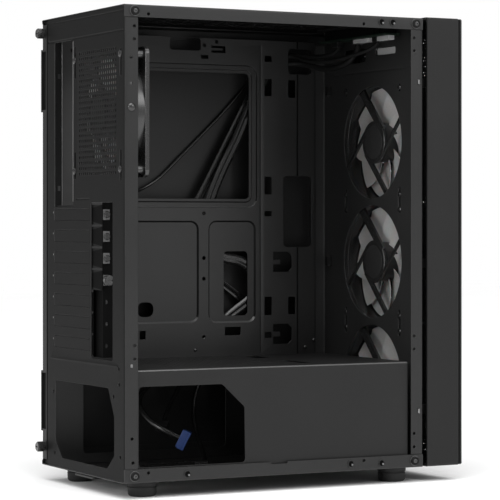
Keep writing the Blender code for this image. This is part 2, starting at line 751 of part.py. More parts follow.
def make_io(m):
    """The port strip let into the roof, its board, the ports and the two buttons."""
    inside = 0.4
    strip_holes = [("z", centred(w, IO_D, 14.4, 7.0), 440, 455) for w in USB_W]
    strip_holes += [("z", circle(w, IO_D, 3.6, 16), 440, 455) for w in AUDIO_W]
    strip_holes.append(("z", circle(POWER_W, IO_D, 7.6, 28), 440, 455))
    strip_holes.append(("z", circle(RESET_W, IO_D, 3.3, 16), 440, 455))
    outline = rect(IO_LOW_W + inside, IO_D - 11 + inside, IO_HIGH_W - inside, IO_D + 11 - inside)
    build(
        "io_strip", m["plastic"], "z", rounded(outline, 2.0, 2), 447.0, 450.8, at(97.5, IO_D, 447),
        strip_holes,
    )
    build(
        "io_board", m["board"], "z", rect(IO_LOW_W + 2, IO_D - 9, IO_HIGH_W - 2, IO_D + 9), 435.6, 437.2,
        at(97.5, IO_D, 436),
    )
    for i, w in enumerate(USB_W):
        mouth = [("z", centred(w, IO_D, 12.4, 5.0), 441.0, 452.0)]
        build(
            f"usb_port_{i + 1}", m["metal"], "z", centred(w, IO_D, 13.6, 6.2), 437.5, 450.7,
            at(w, IO_D, 438), mouth,
        )
    for i, w in enumerate(AUDIO_W):
        mouth = [("z", circle(w, IO_D, 1.8, 12), 441.0, 452.0)]
        build(
            f"audio_jack_{i + 1}", m["metal"], "z", circle(w, IO_D, 3.2, 16), 437.5, 450.7, at(w, IO_D, 438),
            mouth, smooth_deg=35,
        )
    buttons = (("power_button", POWER_W, 7.2), ("reset_button", RESET_W, 2.9))
    for name, w, radius in buttons:
        shank_r = radius * 0.5
        rings = [(-11.0, shank_r), (-5.5, shank_r), (-5.5, radius), (-0.6, radius), (0.0, radius - 0.6)]
        turned(name, m["plastic"], "z", rings, at(w, IO_D, BUTTON_TOP), 18)


# ---------------------------------------------------------------- drive cage


def make_drive_cage(m):
    """An arch of sheet over two drive bays, under the shroud."""
    path = [(40.0, 17.0), (30.0, 17.0), (30.0, 104.0), (134.0, 104.0), (134.0, 17.0), (124.0, 17.0)]
    cuts = []
    for z in (38.0, 76.0):
        for d in (212.0, 248.0, 284.0):
            cuts.append(("w", centred(d, z, 14.0, 5.0), 20, 140))
    for d in (222.0, 262.0):
        cuts.append(("z", rounded(rect(52.0, d, 112.0, d + 22.0), 4.0, 2), 100, 108))
    build("drive_cage", m["steel"], "d", folded(path), 200.0, 298.0, at(82.0, 200.0, 17.0), cuts)


# ---------------------------------------------------------------- wiring


def smooth_route(points, spacing):
    """Places every so far along a smooth curve through the given points."""
    ends = [2 * points[0] - points[1]] + points + [2 * points[-1] - points[-2]]
    fine = []
    for i in range(1, len(ends) - 2):
        before, start, end, after = ends[i - 1:i + 3]
        for step in range(24):
            t = step / 24
            fine.append(
                0.5 * (2 * start + (end - before) * t
                       + (2 * before - 5 * start + 4 * end - after) * t ** 2
                       + (3 * start - before - 3 * end + after) * t ** 3)
            )
    fine.append(ends[-2])
    total = sum((b - a).length for a, b in zip(fine, fine[1:]))
    count = max(4, round(total / spacing))
    step = total / count
    route = [fine[0]]
    walked = 0.0
    for a, b in zip(fine, fine[1:]):
        length = (b - a).length
        while len(route) < count and walked + length >= step * len(route):
            share = (step * len(route) - walked) / length
            route.append(a.lerp(b, share))
        walked += length
    route.append(fine[-1])
    return route


def make_cable(name, material, points, diameter, spacing):
    curve = bpy.data.curves.new(name, "CURVE")
    curve.dimensions = "3D"
    curve.bevel_depth = diameter / 2 * MM
    curve.bevel_resolution = 2
    curve.use_fill_caps = True
    route = smooth_route([at(*p) for p in points], spacing * MM)
    line = curve.splines.new("POLY")
    line.points.add(len(route) - 1)
    for knot, spot in zip(line.points, route):
        knot.co = (*spot, 1.0)
    curve.materials.append(material)
    thing = bpy.data.objects.new(name, curve)
    bpy.context.scene.collection.objects.link(thing)


USB_ROUTE = [
    (100.0, 302.0, 434.8), (100.0, 302.0, 425.5), (108.0, 297.0, 414.0), (124.0, 291.0, 408.5),
    (143.0, 286.0, 408.5), (159.0, 281.5, 412.0), (169.0, 277.0, 414.5), (176.0, 268.0, 415.0),
    (177.0, 256.0, 412.0), (176.2, 244.0, 403.5), (176.2, 231.0, 387.0), (176.2, 218.0, 364.0),
    (176.2, 205.0, 336.0),
    (176.2, 190.0, 308.0), (176.2, 178.0, 282.0), (176.2, 171.0, 260.0), (176.2, 170.0, 240.0),
    (176.2, 178.0, 224.0), (176.2, 193.0, 216.0), (176.2, 209.0, 213.0), (176.2, 223.0, 204.0),
    (176.2, 228.0, 189.0), (176.2, 222.0, 175.0), (176.2, 207.0, 164.0), (176.2, 190.0, 153.0),
    (176.2, 175.0, 141.0), (176.2, 160.0, 126.0), (176.2, 142.0, 111.0), (175.0, 122.0, 99.0),
    (168.0, 103.0, 91.0), (156.0, 88.0, 82.0), (141.0, 80.0, 72.0), (124.0, 82.0, 61.0),
    (109.0, 91.0, 51.5), (101.0, 103.8, 44.2),
]
AUDIO_ROUTE = [
    (140.0, 302.0, 434.2), (140.0, 302.0, 427.5), (147.0, 295.5, 422.5), (161.0, 285.0, 421.5),
    (174.0, 276.0, 424.0), (182.0, 265.0, 423.0), (185.5, 250.0, 414.0), (186.4, 236.0, 397.0),
    (186.4, 220.0, 370.0), (186.4, 205.0, 342.0), (186.4, 188.0, 312.0), (186.4, 172.0, 284.0),
    (186.4, 161.0, 258.0), (186.4, 161.0, 234.0), (186.4, 171.0, 212.0), (186.4, 187.0, 195.0),
    (186.4, 205.0, 182.0), (186.4, 221.0, 169.0), (186.4, 228.0, 154.0), (186.4, 220.0, 140.0),
    (186.4, 204.0, 131.0), (186.2, 189.0, 120.0), (185.0, 176.0, 103.0), (180.0, 161.0, 82.0),
    (166.0, 151.0, 60.0), (148.0, 146.0, 42.0), (126.0, 141.0, 28.5), (106.0, 134.0, 21.5),
    (90.0, 124.0, 20.5),
]
PANEL_ROUTE = [
    (60.0, 302.0, 434.0), (60.0, 301.0, 428.5), (67.0, 295.0, 422.5), (84.0, 287.0, 418.0),
    (104.0, 281.0, 415.0), (124.0, 277.0, 414.0), (143.0, 273.0, 415.5), (159.0, 270.0, 419.0),
    (171.0, 266.5, 422.0), (179.0, 256.0, 421.5), (181.6, 243.0, 412.0), (181.6, 230.0, 394.0),
    (181.6, 215.0, 368.0), (181.6, 199.0, 339.0), (181.6, 183.0, 310.0), (181.6, 168.0, 283.0),
    (181.6, 156.0, 260.0), (181.6, 147.0, 236.0), (181.6, 143.0, 210.0), (181.6, 146.0, 184.0),
    (181.6, 152.0, 158.0), (182.0, 156.0, 133.0), (182.0, 153.0, 112.0), (177.0, 144.0, 95.0),
    (167.0, 132.0, 82.0), (155.0, 119.5, 71.0), (146.0, 111.0, 63.0), (138.5, 105.0, 56.5),
]
FAN_ROUTE = [
    (123.6, 22.0, 302.0), (128.5, 24.0, 297.5), (140.0, 32.0, 288.0), (156.0, 48.0, 281.0),
    (170.0, 68.0, 279.5), (182.0, 88.0, 281.0), (189.0, 107.0, 286.5), (190.9, 126.0, 297.5),
    (190.9, 145.0, 315.0), (190.9, 164.0, 332.5), (190.9, 182.0, 349.5), (190.9, 200.0, 367.0),
    (190.9, 214.0, 382.0), (190.9, 226.0, 396.0),
]


def make_wiring(m):
    make_cable("usb_cable", m["cable"], USB_ROUTE, 6.0, 18.0)
    make_cable("audio_cable", m["cable"], AUDIO_ROUTE, 4.6, 13.8)
    make_cable("panel_cable", m["cable"], PANEL_ROUTE, 4.0, 12.0)
    make_cable("fan_cable", m["cable"], FAN_ROUTE, 3.0, 9.0)
    plugs = (
        ("usb_plug", m["blue"], USB_ROUTE, (8.0, 19.0, 8.6)),
        ("audio_plug", m["plastic"], AUDIO_ROUTE, (12.5, 5.4, 14.0)),
        ("panel_plug", m["plastic"], PANEL_ROUTE, (12.5, 5.4, 11.0)),
        ("fan_plug", m["plastic"], FAN_ROUTE, (4.2, 8.0, 11.0)),
    )
    for name, material, route, (width, height, length) in plugs:
        tip = at(*route[-1])
        forward = (tip - at(*route[-2])).normalized()
        mesh = bmesh.new()
        bmesh.ops.create_cube(mesh, size=1.0)
        bmesh.ops.scale(mesh, vec=(width * MM, length * MM, height * MM), verts=mesh.verts)
        bmesh.ops.translate(mesh, vec=(0, (length / 2 + GAP) * MM, 0), verts=mesh.verts)
        bmesh.ops.bevel(mesh, geom=mesh.edges[:], offset=0.6 * MM, segments=1, affect="EDGES")
        plug = place(name, mesh, tip, material)
        plug.rotation_mode = "QUATERNION"
        plug.rotation_quaternion = forward.to_track_quat("Y", "Z")


# ---------------------------------------------------------------- assembly


def pivot(name, where):
    """An empty that carries the pieces of one moving body."""
    empty = bpy.data.objects.new(name, None)
    empty.location = where
    bpy.context.scene.collection.objects.link(empty)
    bpy.context.view_layer.update()
    return empty


def main():
    for thing in list(bpy.data.objects):
        bpy.data.objects.remove(thing)
    m = make_finishes()
    panel_body = pivot("right_panel_slide_point", at(RIGHT_SKIN_W, 0, PANEL_LOW))
    bezel_body = pivot("bezel_pull_point", at(CASE_W / 2, BEZEL_D, FLOOR_Z))
    make_rear_panel(m)
    make_top_panel(m)
    make_bottom_panel(m)
    make_front_plate(m)
    make_tray(m)
    make_shroud(m)
    make_right_panel(m, panel_body)
    for i in range(SLOT_COUNT):
        make_slot_cover(m, i)
    make_slot_shelf(m)
    make_thumbscrews(m, panel_body)
    make_glass_bosses(m)
    make_feet(m)
    make_fans(m)
    make_bezel(m, bezel_body)
    make_filters(m)
    make_io(m)
    make_drive_cage(m)
    make_wiring(m)


main()
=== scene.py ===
from math import atan2, cos, hypot, pi, radians, sin, sqrt, tan

import bmesh
import bpy
from mathutils import Matrix, Vector
from mathutils.geometry import delaunay_2d_cdt


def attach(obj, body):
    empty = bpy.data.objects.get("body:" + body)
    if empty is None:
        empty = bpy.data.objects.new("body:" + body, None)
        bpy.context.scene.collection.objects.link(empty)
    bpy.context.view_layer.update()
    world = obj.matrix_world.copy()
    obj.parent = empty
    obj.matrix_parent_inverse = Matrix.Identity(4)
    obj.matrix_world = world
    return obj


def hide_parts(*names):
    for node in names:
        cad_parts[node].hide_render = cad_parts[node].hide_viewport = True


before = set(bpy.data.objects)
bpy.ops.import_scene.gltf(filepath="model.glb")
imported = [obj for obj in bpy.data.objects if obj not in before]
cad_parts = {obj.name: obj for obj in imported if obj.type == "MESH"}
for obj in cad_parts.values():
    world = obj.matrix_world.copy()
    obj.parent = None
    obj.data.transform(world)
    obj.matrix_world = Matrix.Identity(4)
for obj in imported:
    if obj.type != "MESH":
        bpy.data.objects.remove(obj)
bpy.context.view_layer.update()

MM = 0.001

# Case coordinates in millimetres: w from the open left side's plane, d forward from the rear skin and
# z up from the ground.
CASE_W = 195
REAR_TO_ORIGIN = 177.1
BODY_DEPTH = 317.4
FLOOR_Z = 15
ROOF_Z = 450
SHEET = 1
HALF_SHEET = SHEET / 2
GAP = 0.3
RAIL_LOW = 27.5
RAIL_HIGH = 438.5
POST_DEPTH = 13.6
SIDE_JOG = 2.5
SIDE_JOG_W = 192.7
RIGHT_EDGE_W = 191.9
SKIN_W = 194.5
TRAY_W = 172
TRAY_STEP_D = 272
TRAY_END_D = 295.5
SHROUD_W = 3.9
SHROUD_Z = 116.9
SLOT_PITCH = 20.32
SLOT_TOP_Z = 259.2
SLOTS = 7
REUSABLE_SLOTS = 4
SIDE_SCREW_W = 189
SIDE_SCREW_Z = (436.5, 33)
REAR_FAN = (62.5, 353)
FRONT_FAN_W = 95
FRONT_FAN_Z = (332.5, 212.5, 92.5)
FAN_REACH = 52.5
IO_D = 302


def at(w, d, z):
    """A place in the case as a position in the frame, in metres."""
    return Vector(((w - CASE_W / 2) * MM, (REAR_TO_ORIGIN - d) * MM, z * MM))


def on_plane(plane, u, v, t):
    """A place from two coordinates in a plane square to the named axis, and one along that axis."""
    if plane == "w":
        return at(t, u, v)
    if plane == "d":
        return at(u, t, v)
    return at(u, v, t)


# ---- outlines


def rect(u0, v0, u1, v1):
    return [(u0, v0), (u1, v0), (u1, v1), (u0, v1)]


def centred(u, v, width, height):
    return rect(u - width / 2, v - height / 2, u + width / 2, v + height / 2)


def circle(u, v, radius, sides=16):
    turn = 2 * pi / sides
    return [(u + radius * cos(turn * i), v + radius * sin(turn * i)) for i in range(sides)]


def rounded(outline, radius, steps=3):
    """The outline with every corner replaced by an arc."""
    made = []
    for i, point in enumerate(outline):
        here = Vector(point)
        before = (Vector(outline[i - 1]) - here).normalized()
        after = (Vector(outline[(i + 1) % len(outline)]) - here).normalized()
        half = before.angle(after) / 2
        back = radius / tan(half)
        middle = here + (before + after).normalized() * (radius / sin(half))
        first = here + before * back - middle
        last = here + after * back - middle
        for step in range(steps + 1):
            made.append(tuple(middle + first.slerp(last, step / steps) * radius))
    return made


def pill(u, v, width, height, steps=3):
    """A slot with round ends."""
    return rounded(centred(u, v, width, height), min(width, height) / 2 - 0.01, steps)


# ---- sheets

SHEET_EDGE = 0.18
EDGE_ANGLE_DEG = 50


class Fold:
    """A folded strip's cross-section: its middle line with rounded corners, measured along s."""

    def __init__(self, plane, path, radius=1.6):
        self.plane = plane
        self.points = [Vector(p) for p in path]
        self.radius = radius
        self.starts = [0]
        for a, b in zip(self.points, self.points[1:]):
            self.starts.append(self.starts[-1] + (b - a).length)
        self.length = self.starts[-1]
        self.corners = []
        for i in range(1, len(self.points) - 1):
            into = (self.points[i] - self.points[i - 1]).normalized()
            out = (self.points[i + 1] - self.points[i]).normalized()
            turn = atan2(into.x * out.y - into.y * out.x, into.dot(out))
            reach = radius * tan(abs(turn) / 2)
            self.corners.append((self.starts[i], reach, turn, self.points[i], into))

    def s(self, index, value):
        """Where along s a coordinate lies on one straight run that follows an axis."""
        a, b = self.points[index], self.points[index + 1]
        axis = 0 if abs(b.x - a.x) > abs(b.y - a.y) else 1
        return self.starts[index] + (value - a[axis]) * (1 if b[axis] > a[axis] else -1)

    def lay(self, index, outlines):
        """Outlines whose first coordinate lies on one straight run, as outlines of the unfolded sheet."""
        return [[(self.s(index, u), v) for u, v in outline] for outline in outlines]

    def press(self, index, dents):
        """Dents on one straight run, as dents of the unfolded sheet."""
        made = []
        for u0, v0, u1, v1, *form in dents:
            low, high = sorted((self.s(index, u0), self.s(index, u1)))
            made.append((low, v0, high, v1, *form))
        return made

    def lines(self, steps=4):
        """The places along s where the sheet is divided so that it can bend."""
        made = []
        for place, reach, _, _, _ in self.corners:
            made += [place + reach * (2 * i / steps - 1) for i in range(steps + 1)]
        return made

    def place(self, s, v, t):
        """The position at s along the section, v along the strip and t out from its middle line."""
        for middle, reach, turn, corner, into in self.corners:
            if abs(s - middle) <= reach + 1e-6:
                side = 1 if turn > 0 else -1
                normal = Vector((-into.y, into.x))
                centre = corner - into * reach + normal * self.radius * side
                normal.rotate(Matrix.Rotation(turn * (s - middle + reach) / (2 * reach), 2))
                spot = centre + normal * (t - self.radius * side)
                return on_plane(self.plane, *spot, v)
        index = 0
        while index < len(self.starts) - 2 and s > self.starts[index + 1]:
            index += 1
        along = (self.points[index + 1] - self.points[index]).normalized()
        spot = self.points[index] + along * (s - self.starts[index]) + Vector((-along.y, along.x)) * t
        return on_plane(self.plane, *spot, v)


def corner_distance(u, v, u0, v0, u1, v1, radius):
    """Distance outside a rounded rectangle, negative within it."""
    x = abs(u - (u0 + u1) / 2) - (u1 - u0) / 2 + radius
    y = abs(v - (v0 + v1) / 2) - (v1 - v0) / 2 + radius
    return hypot(max(x, 0), max(y, 0)) + min(max(x, y), 0) - radius


def anticlockwise(loop):
    area = sum(a[0] * b[1] - b[0] * a[1] for a, b in zip(loop, loop[1:] + loop[:1]))
    return loop if area > 0 else loop[::-1]


def dent_loops(dent):
    """The edges of a dent's floor and slope; it is (u0, v0, u1, v1, corner radius, slope, depth)."""
    u0, v0, u1, v1, radius, slope, _ = dent
    inner = rounded(rect(u0, v0, u1, v1), radius, 4)
    outer = rounded(rect(u0 - slope, v0 - slope, u1 + slope, v1 + slope), radius + slope, 4)
    return [inner, outer]


def dent_depth(dents, u, v):
    depth = 0
    for u0, v0, u1, v1, radius, slope, deep in dents:
        away = corner_distance(u, v, u0, v0, u1, v1, radius)
        depth += deep * min(max(1 - away / slope, 0), 1)
    return depth


def plate_mesh(outline, holes, thickness, place, lines=(), dents=()):
    """A flat sheet with holes and pressed shapes, mapped into the case by place(u, v, t)."""
    loops = [anticlockwise(loop) for loop in [outline] + list(holes)]
    spots = []
    edges = []
    faces = []
    for loop in loops:
        first = len(spots)
        spots += [Vector(p) for p in loop]
        faces.append(list(range(first, len(spots))))
    for dent in dents:
        for loop in dent_loops(dent):
            first = len(spots)
            spots += [Vector(p) for p in loop]
            edges += [(first + i, first + (i + 1) % len(loop)) for i in range(len(loop))]
    low = min(p[1] for p in outline)
    high = max(p[1] for p in outline)
    for u in lines:
        edges.append((len(spots), len(spots) + 1))
        spots += [Vector((u, low)), Vector((u, high))]
    flat, _, tris, _, _, owners = delaunay_2d_cdt(spots, edges, faces, 1, 1e-5, True)
    kept = [tri for tri, owner in zip(tris, owners) if 0 in owner and all(k == 0 for k in owner)]
    mesh = bmesh.new()
    rows = {}
    for tri in kept:
        for k in tri:
            if k not in rows:
                u, v = flat[k]
                lift = dent_depth(dents, u, v)
                rows[k] = [mesh.verts.new(place(u, v, lift + side * thickness / 2)) for side in (1, -1)]
    used = set()
    for tri in kept:
        mesh.faces.new([rows[k][0] for k in tri])
        mesh.faces.new([rows[k][1] for k in reversed(tri)])
        used.update((tri[i], tri[(i + 1) % 3]) for i in range(3))
    for a, b in used:
        if (b, a) not in used:
            mesh.faces.new((rows[b][0], rows[a][0], rows[a][1], rows[b][1]))
    bmesh.ops.recalc_face_normals(mesh, faces=mesh.faces)
    return mesh


def add_object(name, data):
    thing = bpy.data.objects.new(name, data)
    bpy.context.scene.collection.objects.link(thing)
    return thing


def keep(name, mesh, material, smooth=30):
    """A scene object with this mesh, its normals smooth up to an angle."""
    data = bpy.data.meshes.new(name)
    mesh.to_mesh(data)
    mesh.free()
    data.materials.append(material)
    data.shade_smooth()
    data.set_sharp_from_angle(angle=radians(smooth))
    return add_object(name, data)


def soften(thing, width=0.2, segments=1):
    """A small round on every sharp edge."""
    bevel = thing.modifiers.new("edge", "BEVEL")
    bevel.width = width * MM
    bevel.segments = segments
    bevel.limit_method = "ANGLE"
    bevel.angle_limit = radians(EDGE_ANGLE_DEG)
    weigh = thing.modifiers.new("normals", "WEIGHTED_NORMAL")
    weigh.keep_sharp = True
    weigh.weight = 80
    return thing


def shade_faces(thing, material, chosen):
    """A second material on the faces that a test picks; in most uses it is painted shade or a painted
    highlight, in some a real finish.
    """
    thing.data.materials.append(material)
    for face in thing.data.polygons:
        if chosen(face):
            face.material_index = len(thing.data.materials) - 1


def folded(name, material, fold, outline, holes=(), dents=()):
    """A folded sheet; its outline, holes and dents are in (s, v) of the unfolded sheet."""
    mesh = plate_mesh(outline, holes, SHEET, fold.place, fold.lines(), dents)
    return soften(keep(name, mesh, material), SHEET_EDGE)


def flat_mesh(plane, outline, low, high, holes=(), dents=()):
    """A flat sheet square to w, d or z."""
    middle = (low + high) / 2
    return plate_mesh(
        outline, holes, high - low, lambda u, v, t: on_plane(plane, u, v, middle + t), (), dents,
    )


def join_rings(mesh, a, b):
    """Quads between two rings of as many vertices."""
    sides = len(a)
    return [mesh.faces.new((a[i], a[(i + 1) % sides], b[(i + 1) % sides], b[i])) for i in range(sides)]


def lathe(mesh, plane, rings, centre, sides):
    """A solid of revolution about the named axis; each ring is (place along the axis, radius)."""
    across, up, axis = {"w": (1, 2, 0), "d": (0, 2, 1), "z": (0, 1, 2)}[plane]
    made = [
        [
            mesh.verts.new(on_plane(plane, u, v, centre[axis] + along))
            for u, v in circle(centre[across], centre[up], radius, sides)
        ]
        for along, radius in rings
    ]
    faces = [mesh.faces.new(made[0]), mesh.faces.new(made[-1])]
    for a, b in zip(made, made[1:]):
        faces += join_rings(mesh, a, b)
    bmesh.ops.recalc_face_normals(mesh, faces=faces)


def turned(plane, rings, centre, sides):
    """A solid of revolution as a mesh of its own."""
    mesh = bmesh.new()
    lathe(mesh, plane, rings, centre, sides)
    return mesh


def box(mesh, w0, d0, z0, w1, d1, z1):
    corners = [mesh.verts.new(at(w, d, z)) for w in (w0, w1) for d in (d0, d1) for z in (z0, z1)]
    quads = ((0, 1, 3, 2), (4, 6, 7, 5), (0, 4, 5, 1), (2, 3, 7, 6), (0, 2, 6, 4), (1, 5, 7, 3))
    faces = [mesh.faces.new([corners[k] for k in quad]) for quad in quads]
    bmesh.ops.recalc_face_normals(mesh, faces=faces)


def merge(target, source):
    data = bpy.data.meshes.new("part")
    source.to_mesh(data)
    source.free()
    target.from_mesh(data)
    bpy.data.meshes.remove(data)


def slab(mesh, plane, outline, low, high, holes=()):
    """Adds a flat piece square to an axis to a mesh."""
    merge(mesh, flat_mesh(plane, outline, low, high, holes))


def boxes(*sizes):
    """A mesh of boxes, each given by its lowest and highest corner."""
    mesh = bmesh.new()
    for size in sizes:
        box(mesh, *size)
    return mesh


def ride(thing, slot, *nodes, body="chassis"):
    """Attaches a piece to what it moves with and hides the CAD nodes it stands for; the slot argument,
    meant for its finish, is not used.
    """
    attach(thing, body)
    if nodes:
        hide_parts(*nodes)
    return thing


def piece(name, mesh, material, slot, *nodes, body="chassis", edge=None, segments=1):
    """A finished piece from a mesh, its sharp edges rounded where an edge width is given."""
    thing = keep(name, mesh, material)
    if edge:
        soften(thing, edge, segments)
    return ride(thing, slot, *nodes, body=body)


# ---- finishes

BROAD_SHARE = 0.45
RAMP_STOPS = (0.34, 0.66)
ROUGHNESS_SPREAD = 0.08
BUMP_STRENGTH = 0.6
DRAWN_LINES = (40, 40, 2200)


def tune(node, **values):
    """Sets a node's inputs, whose names have underscores for spaces here."""
    for socket, value in values.items():
        node.inputs[socket.replace("_", " ")].default_value = value


def surface(
    name, dark, light, rough, grain=900, relief=0.00004, metallic=0, specular=0.5, blotch=14, **extra,
):
    """A finish from a grey level or colour to another, varied by fine grain and broad, faint blotches."""
    made = bpy.data.materials.new(name)
    made.use_nodes = True
    nodes, links = made.node_tree.nodes, made.node_tree.links
    shader = nodes["Principled BSDF"]
    where = nodes.new("ShaderNodeTexCoord")
    fine, broad = nodes.new("ShaderNodeTexNoise"), nodes.new("ShaderNodeTexNoise")
    for noise, scale, detail in ((fine, grain, 3), (broad, blotch, 4)):
        tune(noise, Scale=scale, Detail=detail)
        links.new(where.outputs["Object"], noise.inputs["Vector"])
    blend = nodes.new("ShaderNodeMix")
    tune(blend, Factor=BROAD_SHARE)
    links.new(fine.outputs["Fac"], blend.inputs["A"])
    links.new(broad.outputs["Fac"], blend.inputs["B"])
    ramp = nodes.new("ShaderNodeValToRGB")
    for stop, position, shade in zip(ramp.color_ramp.elements, RAMP_STOPS, (dark, light)):
        stop.position = position
        stop.color = (*shade, 1) if isinstance(shade, tuple) else (shade, shade, shade, 1)
    links.new(blend.outputs["Result"], ramp.inputs["Fac"])
    links.new(ramp.outputs["Color"], shader.inputs["Base Color"])
    gloss = nodes.new("ShaderNodeMapRange")
    tune(gloss, To_Min=rough - ROUGHNESS_SPREAD, To_Max=rough + ROUGHNESS_SPREAD)
    links.new(blend.outputs["Result"], gloss.inputs["Value"])
    links.new(gloss.outputs["Result"], shader.inputs["Roughness"])
    bump = nodes.new("ShaderNodeBump")
    tune(bump, Strength=BUMP_STRENGTH, Distance=relief)
    links.new(fine.outputs["Fac"], bump.inputs["Height"])
    links.new(bump.outputs["Normal"], shader.inputs["Normal"])
    tune(shader, Metallic=metallic, Specular_IOR_Level=specular, **extra)
    return made


def brushed(name, dark, light, rough):
    """Bright metal with fine drawn lines."""
    made = surface(name, dark, light, rough, relief=0.00002, metallic=1)
    nodes, links = made.node_tree.nodes, made.node_tree.links
    where = next(n for n in nodes if n.type == "TEX_COORD")
    fine = next(n for n in nodes if n.type == "TEX_NOISE")
    mapping = nodes.new("ShaderNodeMapping")
    tune(fine, Scale=1)
    tune(mapping, Scale=DRAWN_LINES)
    links.new(where.outputs["Object"], mapping.inputs["Vector"])
    links.new(mapping.outputs["Vector"], fine.inputs["Vector"])
    return made


STEEL = surface("powder_coated_steel", 0.0075, 0.0115, 0.38, 1500, specular=0.36)
# Darker copy of the steel, painted shade: the rear skin's faces, the slot blanks, the port opening's lips
# and the drive cage.
PAINTED_SHADE_REAR = surface("painted_shade_rear_steel", 0.003, 0.0045, 0.54, 1500, 0.00005, specular=0.1)
# Lighter copy of the steel, painted light: the front sheet's inside and its corner gusset.
PAINTED_LIGHT_FRONT = surface("painted_light_front_steel", 0.013, 0.019, 0.42, 1500, 0.00005, specular=0.6)
INNER = surface("powder_coated_steel_inside", 0.007, 0.011, 0.38, 1500, specular=0.45)
# Darker copy of the steel, painted shade: the shroud and the right side panel.
PAINTED_SHADE_STEEL = surface("painted_shade_steel", 0.006, 0.009, 0.48, 1500, 0.00005, specular=0.28)
PLASTIC = surface("textured_black_plastic", 0.006, 0.009, 0.42, 2600, 0.00003, specular=0.26)
FAN_PLASTIC = surface("fan_frame_plastic", 0.010, 0.014, 0.26, 1800, 0.00002, specular=0.7)
BLADE = surface(
    "milky_blade_plastic", (0.36, 0.355, 0.35), (0.44, 0.435, 0.43), 0.30, 700, 0.00001,
    Subsurface_Weight=0.2, Subsurface_Scale=0.003,
)
HUB = surface("fan_hub_plastic", 0.005, 0.008, 0.36, 1500, 0.00002)
LABEL = surface("blank_label", 0.012, 0.018, 0.5, 500, 0.00001)
FOAM = surface("pale_foam_pad", 0.30, 0.38, 0.8, 900, 0.00010)
RUBBER = surface("foot_rubber", 0.007, 0.012, 0.6, 1200, 0.00006, specular=0.35)
SCREW = surface("black_zinc_screw", 0.040, 0.075, 0.24, 2000, 0.00002, metallic=0.8)
THUMB = surface("black_thumbscrew", 0.012, 0.020, 0.22, 2000, 0.00002, specular=0.8)
# Bright metal, painted highlight: the slot blanks' tips, the hook nibs and the post tabs.
PAINTED_HIGHLIGHT = surface("painted_highlight_metal", 0.16, 0.24, 0.30, 2000, 0.00002, metallic=0.9)
PORT = brushed("stamped_port_shell", 0.40, 0.55, 0.28)
TIN = surface("dull_tin", 0.30, 0.42, 0.45, 900, 0.00002, specular=0.6)
CONTACT = surface(
    "gold_contact", (0.62, 0.42, 0.14), (0.72, 0.52, 0.20), 0.25, 1200, 0.00001, metallic=1,
)
BOARD = surface(
    "circuit_board", (0.004, 0.010, 0.006), (0.006, 0.014, 0.009), 0.45, 1600, 0.00002, specular=0.3,
)
MESH = surface("nylon_filter_mesh", 0.005, 0.009, 0.62, 3000, 0.00005, specular=0.3)
CABLE = surface("cable_jacket", 0.004, 0.007, 0.24, 900, 0.00003, specular=0.55)
# Matte near black: painted shade on the leads under the roof and on the tray's slopes; also the glass
# bosses' own dark rings.
MATTE_AND_PAINTED_SHADE = surface("matte_black_and_painted_shade", 0.004, 0.006, 0.6, 900, 0.00004, specular=0.15)
# Lighter, glossier steel, painted highlight: bends in the tray and shroud, strips at the rear openings,
# slot tabs and boss inserts.
PAINTED_SHEEN = surface("painted_sheen", 0.045, 0.065, 0.30, 1500, 0.00003, specular=0.7)
# Near black, painted shade: under the roof, in the slot channel and the blanks' left ends, in the rail
# hooks, on the slot shelf and the port housing.
PAINTED_DEEP_SHADE = surface("painted_deep_shade", 0.0015, 0.0025, 0.7, 1500, 0.00004, specular=0.05)
BLUE = surface("blue_header_plug", (0.006, 0.030, 0.15), (0.010, 0.045, 0.19), 0.45, 1500, 0.00002)
TONGUE = surface("socket_tongue_plastic", (0.012, 0.040, 0.16), (0.016, 0.055, 0.20), 0.4, 1500, 0.00001)

# ---- camera, floor and light

VIEW_DIR = Vector((0.8862, -0.4633, 0)).normalized()
camera_data = bpy.data.cameras.new("camera")
camera_data.sensor_width = 36
camera_data.lens = 165.2
camera_data.shift_y = -0.054
camera_data.clip_end = 50
camera = add_object("camera", camera_data)
camera.location = (-1.9907, 1.0387, 0.2514)
camera.rotation_euler = VIEW_DIR.to_track_quat("-Z", "Y").to_euler()
bpy.context.scene.camera = camera

floor_mesh = bmesh.new()
bmesh.ops.create_grid(floor_mesh, x_segments=8, y_segments=8, size=6)
FLOOR = surface("pale_floor", 0.90, 0.93, 0.9, 300, 0.00001, specular=0.1, blotch=2)
floor = keep("floor", floor_mesh, FLOOR)


def make_world():
    """A plain white backdrop that lights the case only softly."""
    world = bpy.data.worlds.new("studio")
    world.use_nodes = True
    nodes, links = world.node_tree.nodes, world.node_tree.links
    glow = nodes["Background"]
    backdrop = nodes.new("ShaderNodeBackground")
    tune(glow, Color=(1, 1, 1, 1), Strength=0.42)
    tune(backdrop, Color=(1, 1, 1, 1))
    sight = nodes.new("ShaderNodeLightPath")
    pick = nodes.new("ShaderNodeMixShader")
    links.new(sight.outputs["Is Camera Ray"], pick.inputs["Fac"])
    links.new(glow.outputs["Background"], pick.inputs[1])
    links.new(backdrop.outputs["Background"], pick.inputs[2])
    links.new(pick.outputs["Shader"], nodes["World Output"].inputs["Surface"])
    bpy.context.scene.world = world


make_world()
bpy.context.scene.view_settings.view_transform = "Standard"
bpy.context.scene.view_settings.look = "None"


def lamp(name, kind, spot, target, power):
    data = bpy.data.lights.new(name, kind)
    data.energy = power
    thing = add_object(name, data)
    thing.location = spot
    thing.rotation_euler = (Vector(target) - Vector(spot)).to_track_quat("-Z", "Y").to_euler()
    return data


